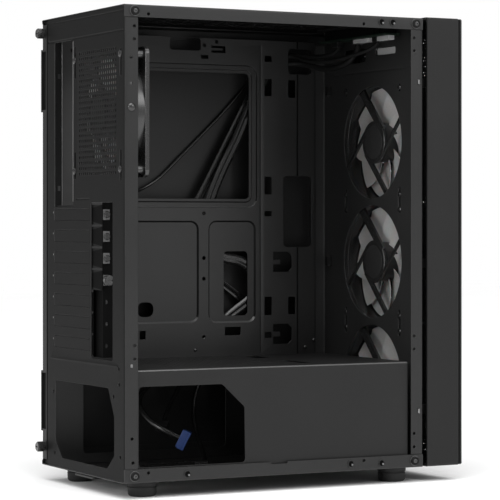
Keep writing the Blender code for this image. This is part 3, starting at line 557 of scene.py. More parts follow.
overhead = lamp("overhead", "SUN", (-0.9, 0.5, 2.6), (0, 0, 0), 2.3)
overhead.angle = radians(80)
for name, spot, target, size, power in (
    ("side", (-2.3, -1.3, 1.5), (0, 0, 0.25), (1.2, 1), 20),
    ("key", (-0.85, 2.3, 0.8), (-0.1, -0.14, 0.25), (0.3, 0.6), 17),
    ("wash", (-1, 0.45, 1.9), (-0.6, 0.3, 0), (1.6, 1.6), 21),
):
    box_light = lamp(name, "AREA", spot, target, power)
    box_light.shape = "RECTANGLE"
    box_light.size, box_light.size_y = size

# ---- wiring

SOCKET_SIZE = 1
SOCKET_DEPTH = 2.4
LEAD_SIDES = 32
RIBBON_WIDTH = 5.5 / 6
RIBBON_THICKNESS = 0.31
RIB_DEPTH = 0.5
RIBBON_EASE = 22
CABLE_SHADE_Z = 392


def smooth_points(points, per_leg=3):
    """More points along a smooth curve through the given ones."""
    ends = [2 * points[0] - points[1]] + points + [2 * points[-1] - points[-2]]
    made = []
    for i in range(1, len(ends) - 2):
        before, start, end, after = ends[i - 1:i + 3]
        for step in range(per_leg):
            t = step / per_leg
            made.append(
                0.5 * (2 * start + (end - before) * t
                       + (2 * before - 5 * start + 4 * end - after) * t ** 2
                       + (3 * start - before - 3 * end + after) * t ** 3)
            )
    made.append(ends[-2])
    return made


def across_route(places, tangents, start):
    """A direction square to the route at each place, turning as little as it can on the way."""
    made = [None] * len(places)
    made[start] = Vector((1, 0, 0))
    for order in (range(start, len(places)), range(start - 1, -1, -1)):
        last = made[start]
        for i in order:
            last = (last - tangents[i] * last.dot(tangents[i])).normalized()
            made[i] = last
    return made


def plug(name, node, route, size, material, slot, rows, columns, pitch):
    """A header plug at a route's end, its face pierced by rows of pin sockets."""
    width, height, length = size
    tip = at(*route[-1])
    turn = (tip - at(*route[-2])).normalized().to_track_quat("Y", "Z")
    mesh = bmesh.new()

    def block(outline, holes, low, high):
        middle = (low + high) / 2
        merge(mesh, plate_mesh(
            outline, holes, high - low, lambda u, v, t: tip + turn @ Vector((u, middle + t, v)) * MM,
        ))

    sockets = [
        centred((i - (columns - 1) / 2) * pitch, (j - (rows - 1) / 2) * pitch, SOCKET_SIZE, SOCKET_SIZE)
        for i in range(columns) for j in range(rows)
    ]
    outline = centred(0, 0, width, height)
    body_end = GAP + length - SOCKET_DEPTH
    block(outline, sockets, body_end, GAP + length)
    block(outline, (), GAP + 1.6, body_end)
    block(centred(0, 0, width - 1.4, height - 1.4), (), GAP, GAP + 1.7)
    return piece(name, mesh, material, slot, node, edge=0.3, segments=2)


def lead(name, node, route, diameter, flat, ribs):
    """A cable swept along its route, which spreads into a ribbed ribbon between two heights."""
    places = smooth_points([at(*p) for p in route])
    tangents = [(b - a).normalized() for a, b in zip(places, places[1:])]
    tangents.append(tangents[-1])
    normals = across_route(places, tangents, len(places) // 2)
    radius = diameter / 2
    mesh = bmesh.new()
    rings = []
    for spot, tangent, normal in zip(places, tangents, normals):
        side = tangent.cross(normal)
        inside = min(spot.z / MM - flat[0], flat[1] - spot.z / MM) / RIBBON_EASE
        share = min(max(inside, 0), 1)
        wide = radius + (RIBBON_WIDTH * diameter - radius) * share
        thin = radius - (radius - RIBBON_THICKNESS * diameter) * share
        ring = []
        for u, v in circle(0, 0, 1, LEAD_SIDES):
            rib = 1 - RIB_DEPTH * share * cos(ribs * pi * u) ** 2
            ring.append(mesh.verts.new(spot + (side * wide * u + normal * thin * rib * v) * MM))
        rings.append(ring)
    mesh.faces.new(rings[0])
    mesh.faces.new(rings[-1])
    for a, b in zip(rings, rings[1:]):
        join_rings(mesh, a, b)
    bmesh.ops.recalc_face_normals(mesh, faces=mesh.faces)
    thing = keep(name, mesh, CABLE, 60)
    # Painted shade: above this height, under the roof, the leads take the matte near-black finish.
    shade_faces(thing, MATTE_AND_PAINTED_SHADE, lambda face: face.center.z > CABLE_SHADE_Z * MM)
    ride(thing, "cable", node)


USB_ROUTE = [
    (100, 302, 434.8), (100, 302, 425.5), (108, 297, 414), (124, 291, 408.5), (143, 286, 408.5),
    (159, 281.5, 412), (169, 277, 414.5), (176, 268, 415), (177, 256, 412), (176.2, 244, 403.5),
    (176.2, 231, 387), (176.2, 218, 364), (176.2, 205, 336), (176.2, 190, 308), (176.2, 178, 282),
    (176.2, 171, 260), (176.2, 170, 240), (176.2, 178, 224), (176.2, 193, 216), (176.2, 209, 213),
    (176.2, 223, 204), (176.2, 228, 189), (176.2, 222, 175), (176.2, 207, 164), (176.2, 190, 153),
    (176.2, 175, 141), (176.2, 160, 126), (176.2, 142, 111), (175, 122, 99), (168, 103, 91),
    (156, 88, 82), (141, 80, 72), (124, 82, 61), (109, 91, 51.5), (101, 103.8, 44.2),
]
AUDIO_ROUTE = [
    (140, 302, 434.2), (140, 302, 427.5), (147, 295.5, 422.5), (161, 285, 421.5), (174, 276, 424),
    (182, 265, 423), (185.5, 250, 414), (186.4, 236, 397), (186.4, 220, 370), (186.4, 205, 342),
    (186.4, 188, 312), (186.4, 172, 284), (186.4, 161, 258), (186.4, 161, 234), (186.4, 171, 212),
    (186.4, 187, 195), (186.4, 205, 182), (186.4, 221, 169), (186.4, 228, 154), (186.4, 220, 140),
    (186.4, 204, 131), (186.2, 189, 120), (185, 176, 103), (180, 161, 82), (166, 151, 60),
    (148, 146, 42), (126, 141, 28.5), (106, 134, 21.5), (90, 124, 20.5),
]
PANEL_ROUTE = [
    (60, 302, 434), (60, 301, 428.5), (67, 295, 422.5), (84, 287, 418), (104, 281, 415),
    (124, 277, 414), (143, 273, 415.5), (159, 270, 419), (171, 266.5, 422), (179, 256, 421.5),
    (181.6, 243, 412), (181.6, 230, 394), (181.6, 215, 368), (181.6, 199, 339), (181.6, 183, 310),
    (181.6, 168, 283), (181.6, 156, 260), (181.6, 147, 236), (181.6, 143, 210), (181.6, 146, 184),
    (181.6, 152, 158), (182, 156, 133), (182, 153, 112), (177, 144, 95), (167, 132, 82),
    (155, 119.5, 71), (146, 111, 63), (138.5, 105, 56.5),
]
FAN_ROUTE = [
    (123.6, 22, 302), (128.5, 24, 297.5), (140, 32, 288), (156, 48, 281), (170, 68, 279.5),
    (182, 88, 281), (189, 107, 286.5), (190.9, 126, 297.5), (190.9, 145, 315), (190.9, 164, 332.5),
    (190.9, 182, 349.5), (190.9, 200, 367), (190.9, 214, 382), (190.9, 226, 396),
]
# Each plug's width, height and length, its finish, and its rows and columns of sockets and their pitch.
PLUGS = (
    ("usb", USB_ROUTE, (8, 19, 8.6), BLUE, "blue_plug", 8, 2, 2.1),
    ("audio", AUDIO_ROUTE, (12.5, 5.4, 14), HUB, "cable", 2, 5, 2.3),
    ("panel", PANEL_ROUTE, (12.5, 5.4, 11), HUB, "cable", 2, 5, 2.3),
    ("fan", FAN_ROUTE, (4.2, 8, 11), HUB, "cable", 3, 1, 2.4),
)
# Each lead's diameter, the heights between which it is a ribbon, and the ribbon's number of ribs.
LEADS = (
    ("usb", USB_ROUTE, 6, (140, 392), 1), ("audio", AUDIO_ROUTE, 4.6, (120, 400), 3),
    ("panel", PANEL_ROUTE, 4, (100, 400), 3), ("fan", FAN_ROUTE, 3, (0, 0), 1),
)
ends = {
    name: plug(f"{name}_header_plug", f"{name}_plug", route, *form) for name, route, *form in PLUGS
}
for name, route, diameter, flat, ribs in LEADS:
    lead(f"{name}_lead", f"{name}_cable", route, diameter, flat, ribs)

# ---- chassis sheets

SLOT_WINDOW_W = (79.8, 163.8)
SLOT_WINDOW_HALF_Z = 5.7


def slot_z(index):
    """The height of an expansion slot's middle, counted from the top."""
    return SLOT_TOP_Z - index * SLOT_PITCH


def slot_window(index, inset=0):
    """The corners of an expansion slot's opening in the rear skin, or of a shape that fits in it."""
    low, high = SLOT_WINDOW_W
    half = SLOT_WINDOW_HALF_Z - inset
    return low + inset, slot_z(index) - half, high - inset, slot_z(index) + half


def slot_rows(places, start, pitch, rows, length, width, skipped=None):
    """Rows of cross slots for a vent, at the same places in each row."""
    return [
        pill(w, start + row * pitch, length, width)
        for row in range(rows) if row != skipped for w in places
    ]


def hexagon(u, v, width, height):
    """A small upright slot with pointed ends."""
    half, tall, cut = width / 2, height / 2, width / 3
    return [
        (u, v - tall), (u + half, v - tall + cut), (u + half, v + tall - cut),
        (u, v + tall), (u - half, v + tall - cut), (u - half, v - tall + cut),
    ]


def end_sheet_outline(fold, right_run):
    """A front or rear sheet's blank, with corners cut away for the roof's and floor's rails."""
    low, high = FLOOR_Z + SHEET + GAP, ROOF_Z - SHEET - GAP
    left_low, left_high = RAIL_LOW + GAP, RAIL_HIGH - GAP
    right_low, right_high = left_low + SIDE_JOG, left_high - SIDE_JOG
    left_at, right_at, end = fold.s(1, 1.3), fold.s(right_run, RIGHT_EDGE_W), fold.length
    return [
        (0, left_low), (left_at, left_low), (left_at, low), (right_at, low), (right_at, right_low),
        (end, right_low), (end, right_high), (right_at, right_high), (right_at, high), (left_at, high),
        (left_at, left_high), (0, left_high),
    ]


def round_holes(places, radius, sides=14):
    return [circle(u, v, radius, sides) for u, v in places]


SCREW_HOLE_R = 1.9
POST_HOLE_R = 1.45
RAIL_HOLE_R = 1.5
PORT_OPENING = rect(118.6, 266.9, 163.05, 425.65)
BRACKET_OPENING = rect(26.5, 125, 75.5, 270.4)
PSU_OPENING = [
    (161, 41.4), (145, 25.5), (39, 25.5), (23, 38.4), (23, 74), (36.6, 99.6), (161, 99.6),
]
REAR_VENT = (20.4, 297.6)
REAR_VENT_PITCH = (4.6, 5.15)
VENT_SLOTS = ((113.4, 388, 419), (113.4, 292.5, 319), (8.6, 385.5, 410.5), (8.6, 289.5, 318.5))
SKIN_HOLES = ((24.7, 92.2), (10, 38), (166, 88), (163, 29), (13, 118.4), (12.4, 104))
REAR_POST_HOLES = (
    (9.8, 430.2), (9.8, 418.4), (6.5, 401.9), (6.5, 378.3), (10.2, 140.1), (10.2, 128), (7.5, 55.5),
    (8.5, 33.7),
)
REAR_STEP = 2
REAR_DENTS = (
    (3, 426.2, 179, 426.9, 0.3, 1, 0.7), (3, 444.2, 179, 444.7, 0.2, 0.8, 0.5),
    (80, 273.6, 110, 274.2, 0.2, 0.8, 0.5), (16, 120.4, 172, 121.2, 0.3, 1.6, -0.55),
)
REAR_POST_DENT = (6.4, 355.8, 8, 357.4, 0.7, 1.7, -0.28)


def make_rear_panel():
    path = [
        (HALF_SHEET, POST_DEPTH), (HALF_SHEET, HALF_SHEET), (180.6, HALF_SHEET),
        (180.6 + REAR_STEP, HALF_SHEET + REAR_STEP), (193.4, HALF_SHEET + REAR_STEP),
    ]
    fold = Fold("z", path)
    skin = [
        rounded(PORT_OPENING, 2, 4), rounded(PSU_OPENING, 2.5, 4), rounded(BRACKET_OPENING, 1.5),
    ]
    skin += [rounded(rect(*slot_window(i)), 1, 2) for i in range(SLOTS)]
    skin += [
        hexagon(REAR_VENT[0] + REAR_VENT_PITCH[0] * i, REAR_VENT[1] + REAR_VENT_PITCH[1] * j, 3.1, 3.9)
        for i in range(19) for j in range(23)
    ]
    skin += [pill(w, (z0 + z1) / 2, 3.4, z1 - z0) for w, z0, z1 in VENT_SLOTS]
    skin += round_holes(SKIN_HOLES, SCREW_HOLE_R)
    holes = fold.lay(1, skin)
    holes += fold.lay(0, round_holes(REAR_POST_HOLES, POST_HOLE_R, 12))
    holes += fold.lay(3, round_holes([(SIDE_SCREW_W, z) for z in SIDE_SCREW_Z], 2.2))
    dents = fold.press(1, REAR_DENTS) + fold.press(0, [REAR_POST_DENT])
    panel = folded("rear_sheet", STEEL, fold, end_sheet_outline(fold, 3), holes, dents)
    # Painted shade: faces that look rearward or forward take the darker copy of the steel.
    shade_faces(panel, PAINTED_SHADE_REAR, lambda face: abs(face.normal.y) > 0.7)
    ride(panel, "steel", "rear_panel")


OPENING_LIPS = (
    (163.2, 1.1, 264.5, 164.2, 7.6, 427), (122.8, 1.1, 264.9, 163.1, 8.4, 265.9),
    (122.8, 1.1, 426.4, 163.1, 6, 427.4), (78, 2.6, 123.4, 164, 6, 124.4),
)
OPENING_HIGHLIGHTS = ((163.1, 7.7, 264.5, 164.3, 8.3, 427), (117, -0.3, 272, 118.2, 1.2, 424))
LIP_SLOT_Z = (393.4, 284.9)


def make_opening_edges():
    """The bent edges of the rear openings, thin bright strips along them for painted highlight, and dark
    boxes for the slots in the port opening's lip, painted shade.
    """
    piece("port_opening_lips", boxes(*OPENING_LIPS), PAINTED_SHADE_REAR, "steel", edge=0.3)
    piece("port_opening_highlights", boxes(*OPENING_HIGHLIGHTS), PAINTED_SHEEN, "steel", edge=0.1)
    # Painted shade: dark boxes stand where the lip's slots are.
    slots = boxes(*((163.05, 3.4, z - 2.4, 163.25, 6, z + 2.4) for z in LIP_SLOT_Z))
    piece("lip_slot_shade", slots, HUB, "steel")


ROOF_POST_HOLES = ((441.7, 24.1), (441.7, 251.2))
FLOOR_POST_HOLES = ((23.9, 24.1), (24.3, 251.2), (20.9, 63.3), (22.1, 236.6), (21, 270.7))
ROOF_DENT = (26, 26, 169, 288, 6, 1.6, -0.45)
FLOOR_DENT = (20, 190, 170, 206, 6, 2, 0.9)


def rail_sheet(name, node, fold, flat, post, dent):
    """The roof or the floor: a flat run, a rail on the left with small holes, and one on the right."""
    outline = rect(0, 0, fold.length, BODY_DEPTH)
    holes = fold.lay(1, flat) + fold.lay(0, post)
    return ride(folded(name, STEEL, fold, outline, holes, fold.press(1, [dent])), "steel", node)


def make_roof():
    path = [
        (HALF_SHEET, RAIL_HIGH), (HALF_SHEET, ROOF_Z - HALF_SHEET), (SKIN_W, ROOF_Z - HALF_SHEET),
        (SKIN_W, 447.4), (SIDE_JOG_W, 445.4), (SIDE_JOG_W, 436),
    ]
    fold = Fold("d", path, 1)
    top = slot_rows(
        (50, 81.7, 113.3, 145), start=38, pitch=7.6, rows=32, length=25, width=4.6, skipped=15,
    )
    top.append(rect(30, IO_D - 11, 165, IO_D + 11))
    post = round_holes(ROOF_POST_HOLES, RAIL_HOLE_R, 12) + round_holes([(444.3, 270.7)], 2)
    roof = rail_sheet("roof_sheet", "top_panel", fold, top, post, ROOF_DENT)
    # Painted shade: the roof's downward faces are near black.
    shade_faces(roof, PAINTED_DEEP_SHADE, lambda face: face.normal.z < -0.7)


def make_floor_sheet():
    path = [
        (HALF_SHEET, RAIL_LOW), (HALF_SHEET, FLOOR_Z + HALF_SHEET), (SKIN_W, FLOOR_Z + HALF_SHEET),
        (SKIN_W, 18.4), (SIDE_JOG_W, 20.4), (SIDE_JOG_W, 29.5),
    ]
    fold = Fold("d", path, 1)
    base = slot_rows((64, 97, 130), start=34, pitch=7.4, rows=16, length=27, width=4.4)
    base += round_holes([(w, d) for w in (45, 115) for d in (215, 290)], SCREW_HOLE_R)
    post = round_holes(FLOOR_POST_HOLES, RAIL_HOLE_R, 12)
    post.append(rect(RAIL_LOW + 1.1, 151, RAIL_LOW - 1.9, 168))
    rail_sheet("floor_sheet", "bottom_panel", fold, base, post, FLOOR_DENT)


FRONT_BORE_R = 56.6
PEGS = [(w, z) for w in (12, 181) for z in (70, 212, 388)]
FRONT_POST_Z = (430.4, 418.1, 142.1, 129.5, 47.8, 34.8)
FRONT_SLOTS = ((274, 26), (152.5, 26), (385, 8), (40, 8))
CORD_OPENING = rect(50, 418.7, 88, 426.8)
BOARD_OPENING = rect(108, 414, 150, 428)


def make_front_sheet():
    front = BODY_DEPTH - HALF_SHEET
    path = [(HALF_SHEET, 303.8), (HALF_SHEET, front), (SIDE_JOG_W, front), (SIDE_JOG_W, 304)]
    fold = Fold("z", path)
    skin = round_holes([(FRONT_FAN_W, z) for z in FRONT_FAN_Z], FRONT_BORE_R, 72)
    for w in (FRONT_FAN_W - FAN_REACH, FRONT_FAN_W + FAN_REACH):
        skin += [pill(w, z, 4.6, tall, 4) for z, tall in FRONT_SLOTS]
    skin += [rounded(CORD_OPENING, 2.5, 4), rounded(BOARD_OPENING, 3, 4)]
    skin += [centred(w, z, 7, 11) for w, z in PEGS]
    post = round_holes([(307.5, z) for z in FRONT_POST_Z], POST_HOLE_R, 12)
    post += [pill(312.4, z, 3, 6) for z in (388, 69.3)]
    dents = fold.press(1, [(22, 403.5, 172, 404.5, 0.4, 1.6, 0.6)])
    holes = fold.lay(1, skin) + fold.lay(0, post)
    # Painted light: the front sheet is lighter than the steel, apart from its faces at the post by the
    # open side.
    sheet = folded("front_sheet", PAINTED_LIGHT_FRONT, fold, end_sheet_outline(fold, 1), holes, dents)
    shade_faces(sheet, STEEL, lambda face: face.center.x < at(2, 0, 0).x)
    ride(sheet, "steel", "front_plate")
    gusset = boxes((190.6, 316.4, 436, 194.3, 317.3, 448.8))
    piece("front_corner_gusset", gusset, PAINTED_LIGHT_FRONT, "steel", edge=0.2)


TRAY_OPENINGS = (
    (40, 275.8, 216.6, 402.7), (188.7, 157.8, 215.7, 222.7), (256.3, 226.8, 290, 299.6),
    (34, 26, 190, 106), (262, 404, 290, 430),
)
TRAY_SLOTS = (
    (238.8, 389.6, 17.4), (238.8, 289.5, 17.9), (238.8, 166.8, 18.5), (238.8, 418.7, 6.1),
    (238.8, 261, 5.1), (238.8, 137.2, 6), (266.2, 388.9, 17.8), (266.2, 166.8, 17.8),
)
STRAP_HOOK = (
    (244.6, -10.2), (262, -10.2), (266.2, -6), (266.2, 6), (262, 10.2), (244.6, 10.2), (244.6, 2.4),
    (252.6, 2.4), (252.6, -2.4), (244.6, -2.4),
)
CORNER_HOOK = (
    (174.1, 423), (190, 423), (190, 429.9), (174.1, 429.9), (174.1, 427.6), (186.5, 427.6),
    (186.5, 425.3), (174.1, 425.3),
)
SMALL_OPENINGS = ((162.4, 416.5, 170.4, 420.3), (94.6, 136, 100.9, 144.4), (189.4, 138, 207.3, 146.3))
BOARD_HOLES = (
    (10.2, 261.1), (10.2, 136.8), (165.6, 261.1), (165.6, 136.8), (165.6, 216.2), (165.6, 195.4),
    (166, 430), (180, 434), (22, 420),
)
TRAY_DENTS = (
    (32, 267.8, 225.4, 410.4, 10, 1, -1.4), (37.6, 273.2, 219.4, 405.4, 6, 1.2, 1.1),
    (12.6, 153, 158.2, 252, 7, 1.7, -1.5), (172.4, 152.2, 222.8, 252.2, 7, 1.7, -1.5),
    (230, 120, 231, 432, 0.4, 1.2, -0.35),
)


def make_tray():
    path = [
        (180, 1.9), (TRAY_W, 1.9), (TRAY_W, TRAY_STEP_D), (174.2, 274.5), (174.2, TRAY_END_D),
        (186, TRAY_END_D),
    ]
    fold = Fold("z", path)
    openings = [rounded(rect(*sides), 4, 4) for sides in TRAY_OPENINGS]
    openings += [rounded(centred(d, z, 8.2, tall), 0.8, 2) for d, z, tall in TRAY_SLOTS]
    openings += [[(d, middle + z) for d, z in STRAP_HOOK] for middle in (211.6, 138)]
    openings += [rounded(rect(127.8, 424.5, 162, 437), 2.5), CORNER_HOOK]
    openings += [rounded(rect(93, 158, 110, 172.5), 6, 4)]
    openings += [rect(*sides) for sides in SMALL_OPENINGS]
    openings += round_holes(BOARD_HOLES, SCREW_HOLE_R)
    holes = [
        [(fold.s(1 if d < TRAY_STEP_D + 1 else 3, d), z) for d, z in opening] for opening in openings
    ]
    outline = rect(0, FLOOR_Z + SHEET + GAP, fold.length, RAIL_HIGH - 1)
    tray = folded("tray_sheet", INNER, fold, outline, holes, fold.press(1, TRAY_DENTS))
    # Painted shade on slopes that face the open side, painted highlight on slopes that face up.
    shade_faces(tray, MATTE_AND_PAINTED_SHADE, lambda face: 0.3 < -face.normal.x < 0.92)
    shade_faces(tray, PAINTED_SHEEN, lambda face: face.normal.z > 0.35 and face.normal.x < -0.35)
    ride(tray, "steel", "motherboard_tray")


SHROUD_END_D = 302
SHROUD_WINDOW = ((15.8, 28.6), (125, 28.6), (124.3, 80.2), (101, 102), (15.8, 102))
SHROUD_HOLE = 5.2


def make_shroud():
    path = [(SHROUD_W, FLOOR_Z + SHEET + GAP), (SHROUD_W, SHROUD_Z), (TRAY_W - 1, SHROUD_Z)]
    fold = Fold("d", path)
    window = [(z, d) for d, z in SHROUD_WINDOW]
    top = [
        pill(46 + 9 * column + 4.5 * (row % 2), 66 + 8.6 * row, SHROUD_HOLE, SHROUD_HOLE, 2)
        for row in range(14) for column in range(12)
    ]
    top.append(rounded(rect(120, 200, 160, 216), 4, 4))
    top.append(rounded(rect(30, 200, 80, 212), 4, 4))
    outline = rect(0, POST_DEPTH + 1, fold.length, SHROUD_END_D)
    holes = fold.lay(0, [rounded(window, 3.5, 4)]) + fold.lay(1, top)
    sheet = folded("shroud_sheet", PAINTED_SHADE_STEEL, fold, outline, holes)
    # Painted highlight on the shroud's fold.
    shade_faces(sheet, PAINTED_SHEEN, lambda face: face.normal.z > 0.3 and face.normal.x < -0.3)
    ride(sheet, "steel", "psu_shroud")


for make in (
    make_rear_panel, make_opening_edges, make_roof, make_floor_sheet, make_front_sheet, make_tray,
    make_shroud,
):
    make()

# ---- expansion slots

SLOT_SCREW_D = 6.2
SLOT_SCREW = ((-1.5, 1.2), (-1.5, 2.6), (-0.7, 3.2), (0, 3.2), (0, 1.7), (2.6, 1.7))


def make_covers():
    """Blanks pressed out to lie flush in the rear skin's windows; the first four have a screw tab."""
    # Painted shade: a near-black plate in the channel behind the blanks.
    wall = flat_mesh("d", rounded(rect(55.4, 126, 82, 197), 1.5), 5, 6)
    piece("slot_channel_shade_wall", wall, PAINTED_DEEP_SHADE, "steel", edge=0.2)
    for i in range(SLOTS):
        z = slot_z(i)
        reusable = i < REUSABLE_SLOTS
        screwed = i < REUSABLE_SLOTS - 1
        left = 52.9 if reusable else 74
        dents = [(*slot_window(i, GAP), 0.8, 0.25, -1.2)]
        blank = flat_mesh("d", rect(left, z - 9.2, 168.5, z + 9.2), 1.3, 2.3, (), dents)
        cover = piece(f"slot_blank_{i + 1}", blank, PAINTED_SHADE_REAR, "steel", f"slot_cover_{i + 1}", edge=0.15)
        # Painted shade: the blank's left end, in the channel, is near black.
        shade_faces(cover, PAINTED_DEEP_SHADE, lambda face: face.center.x < at(76, 0, 0).x)
        # Painted highlight: a small bright box at the blank's right end.
        tip = boxes((165.2, -0.2, z + 1.6, 166.6, 0.1, z + 3.2))
        piece(f"slot_tip_{i + 1}", tip, PAINTED_HIGHLIGHT, "steel", edge=0.1)
        if reusable:
            hole = [circle(SLOT_SCREW_D, z, 2.1, 14)] if screwed else []
            tab = flat_mesh("w", rect(1.8, z - 5, 9.2, z + 5), 52.9, 54.1, hole)
            # Painted highlight: the tabs take the lighter, glossier steel.
            piece(f"slot_tab_{i + 1}", tab, PAINTED_SHEEN, "steel", edge=0.3)
        if screwed:
            head = turned("w", SLOT_SCREW, (52.8, SLOT_SCREW_D, z), 20)
            piece(f"slot_screw_{i + 1}", head, SCREW, "screw", edge=0.1)


make_covers()

# ---- fans

FAN_AXIS = (CASE_W / 2, REAR_TO_ORIGIN, 0)
FAN_HALF = 59.8
FLANGES = ((0, 4), (21, 25))
BORE_R = 57.5
BORE_SIDES = 80
DUCT = ((BORE_R, 4), (BORE_R, 21), (59.4, 21), (59.4, 4))
STRUT_HALVES = (4.2, 1.6, 2.6, 1.6)
STRUT_END = 55.2
STRUT_D = 1.6
STRUT_THICKNESS = 2.8
CORNER_POST_R = 4.1
HUB_R = 20
HUB_SIDES = 48
HUB_RINGS = (
    (4.2, 1), (4.2, HUB_R - 1.2), (5, HUB_R), (20.6, HUB_R), (22, HUB_R - 0.7), (22.8, HUB_R - 2.4),
)
LABEL_RINGS = ((-0.12, 16.6), (0.05, 16.8))
BLADE_COUNT = 9
BLADE_ROOT_R = HUB_R - 0.8
BLADE_TIP_R = BORE_R - 1.8
BLADE_ROWS = 9
BLADE_COLUMNS = 13
BLADE_CHORD_DEG = 58
BLADE_TAPER_DEG = 3
BLADE_SWEEP_DEG = 26
BLADE_BACK_D = 12.6
BLADE_TWIST = 7.6
BLADE_CAMBER = 1.4
BLADE_EDGE = 0.25
BLADE_SWELL = 0.75


def about_axis(u, d, v):
    """A place about a fan's own axis, in metres."""
    return Vector((u * MM, -d * MM, v * MM))


def fan_frame_mesh():
    """Two square flanges joined by a duct and corner posts, four tangent struts and the motor's seat."""
    parts = bmesh.new()
    square = rounded(rect(-FAN_HALF, -FAN_HALF, FAN_HALF, FAN_HALF), 7, 5)
    corners = [(u, v) for u in (-FAN_REACH, FAN_REACH) for v in (-FAN_REACH, FAN_REACH)]
    holes = [circle(0, 0, BORE_R, BORE_SIDES)] + round_holes(corners, 2.2)
    for low, high in FLANGES:
        middle = (low + high) / 2
        merge(parts, plate_mesh(
            square, holes, high - low, lambda u, v, t: about_axis(u, middle + t, v),
        ))
    rings = [
        [parts.verts.new(about_axis(u, d, v)) for u, v in circle(0, 0, radius, BORE_SIDES)]
        for radius, d in DUCT
    ]
    for a, b in zip(rings, rings[1:] + rings[:1]):
        join_rings(parts, a, b)
    for u, v in corners:
        post = [(4, CORNER_POST_R), (21, CORNER_POST_R)]
        lathe(parts, "d", post, (u + CASE_W / 2, REAR_TO_ORIGIN, v), 18)
    for quarter, half in enumerate(STRUT_HALVES):
        angle = radians(45 + 90 * quarter)
        along = Vector((cos(angle), sin(angle)))
        across = Vector((-along.y, along.x))
        base = across * (HUB_R - 0.5)
        outline = [
            tuple(base + across * side * half + along * reach)
            for side, reach in ((-1, -4), (1, -4), (1, STRUT_END), (-1, STRUT_END))
        ]
        merge(parts, plate_mesh(
            outline, (), STRUT_THICKNESS, lambda u, v, t: about_axis(u, STRUT_D + t, v),
        ))
    lathe(parts, "d", [(0, HUB_R + 0.9), (0.6, HUB_R + 1.5), (3.4, HUB_R + 1.5)], FAN_AXIS, HUB_SIDES)
    bmesh.ops.recalc_face_normals(parts, faces=parts.faces)
    return parts


def add_blade(parts, start):
    """One swept, twisted blade that thins towards its edges, from an angle about the axis."""
    skins = [[], []]
    for row in range(BLADE_ROWS):
        share = row / (BLADE_ROWS - 1)
        radius = BLADE_ROOT_R + (BLADE_TIP_R - BLADE_ROOT_R) * share
        chord = radians(BLADE_CHORD_DEG - BLADE_TAPER_DEG * share)
        sweep = radians(BLADE_SWEEP_DEG) * share ** 1.4
        for column in range(BLADE_COLUMNS):
            t = column / (BLADE_COLUMNS - 1)
            angle = start + sweep + chord * t
            rise = BLADE_BACK_D + BLADE_TWIST * t + BLADE_CAMBER * sin(pi * t)
            thick = BLADE_EDGE + BLADE_SWELL * sin(pi * min(max(t, 0.02), 0.98)) ** 0.6
            for skin, side in zip(skins, (1, -1)):
                spot = about_axis(radius * cos(angle), rise + side * thick, radius * sin(angle))
                skin.append(parts.verts.new(spot))
    top, bottom = skins
    for row in range(BLADE_ROWS - 1):
        for column in range(BLADE_COLUMNS - 1):
            a = row * BLADE_COLUMNS + column
            quad = (a, a + 1, a + BLADE_COLUMNS + 1, a + BLADE_COLUMNS)
            parts.faces.new([top[k] for k in quad])
            parts.faces.new([bottom[k] for k in reversed(quad)])
    last = (BLADE_ROWS - 1) * BLADE_COLUMNS
    border = list(range(BLADE_COLUMNS))
    border += [r * BLADE_COLUMNS + BLADE_COLUMNS - 1 for r in range(1, BLADE_ROWS)]
    border += [last + c for c in range(BLADE_COLUMNS - 2, -1, -1)]
    border += [r * BLADE_COLUMNS for r in range(BLADE_ROWS - 2, 0, -1)]
    for a, b in zip(border, border[1:] + border[:1]):
        parts.faces.new((top[a], bottom[a], bottom[b], top[b]))


def rotor_mesh():
    """A domed hub with its blades."""
    parts = turned("d", HUB_RINGS, FAN_AXIS, HUB_SIDES)
    for index in range(BLADE_COUNT):
        add_blade(parts, 2 * pi * index / BLADE_COUNT)
    bmesh.ops.recalc_face_normals(parts, faces=parts.faces)
    return parts


def make_fans():
    base_frame = keep("fan_frame_shape", fan_frame_mesh(), FAN_PLASTIC)
    base_rotor = keep("fan_rotor_shape", rotor_mesh(), BLADE, 40)
    spots = [vert.co for vert in base_rotor.data.vertices]
    shade_faces(base_rotor, HUB, lambda face: all(
        hypot(spots[k].x, spots[k].z) < (HUB_R + 0.05) * MM for k in face.vertices
    ))
    label = turned("d", LABEL_RINGS, FAN_AXIS, HUB_SIDES)
    base_label = keep("fan_label_shape", label, LABEL)
    places = [("rear_fan", *REAR_FAN, SHEET + GAP)]
    places += [(f"front_fan_{i + 1}", FRONT_FAN_W, FRONT_FAN_Z[i], BODY_DEPTH + GAP) for i in range(3)]
    for name, w, z, d in places:
        centre = at(w, d, z)
        for part, base, body, finish, *nodes in (
            ("frame", base_frame, "chassis", "plastic", f"{name}_frame"),
            ("rotor", base_rotor, f"{name}_rotor", "blade", f"{name}_rotor"),
            ("label", base_label, "chassis", "plastic"),
        ):
            data = base.data.copy()
            for vert in data.vertices:
                vert.co += centre
            thing = add_object(f"{name}_{part}_piece", data)
            if part == "frame":
                soften(thing, 0.25)
            ride(thing, finish, *nodes, body=body)
    for base in (base_frame, base_rotor, base_label):
        bpy.data.objects.remove(base)


make_fans()

# ---- front and filters


def perforated(name, material, plane, outline, low, high, field, pitch, size, sides, body, slot, node):
    """A sheet with a staggered field of small holes inside a plain border."""
    u0, v0, u1, v1 = field
    holes = []
    rise = pitch * sqrt(3) / 2
    rows = int((v1 - v0) / rise)
    for row in range(rows):
        offset = pitch / 2 if row % 2 else 0
        for column in range(int((u1 - u0 - offset) / pitch) + 1):
            holes.append(circle(u0 + offset + column * pitch, v0 + row * rise, size / 2, sides))
    piece(name, flat_mesh(plane, outline, low, high, holes), material, slot, node, body=body)


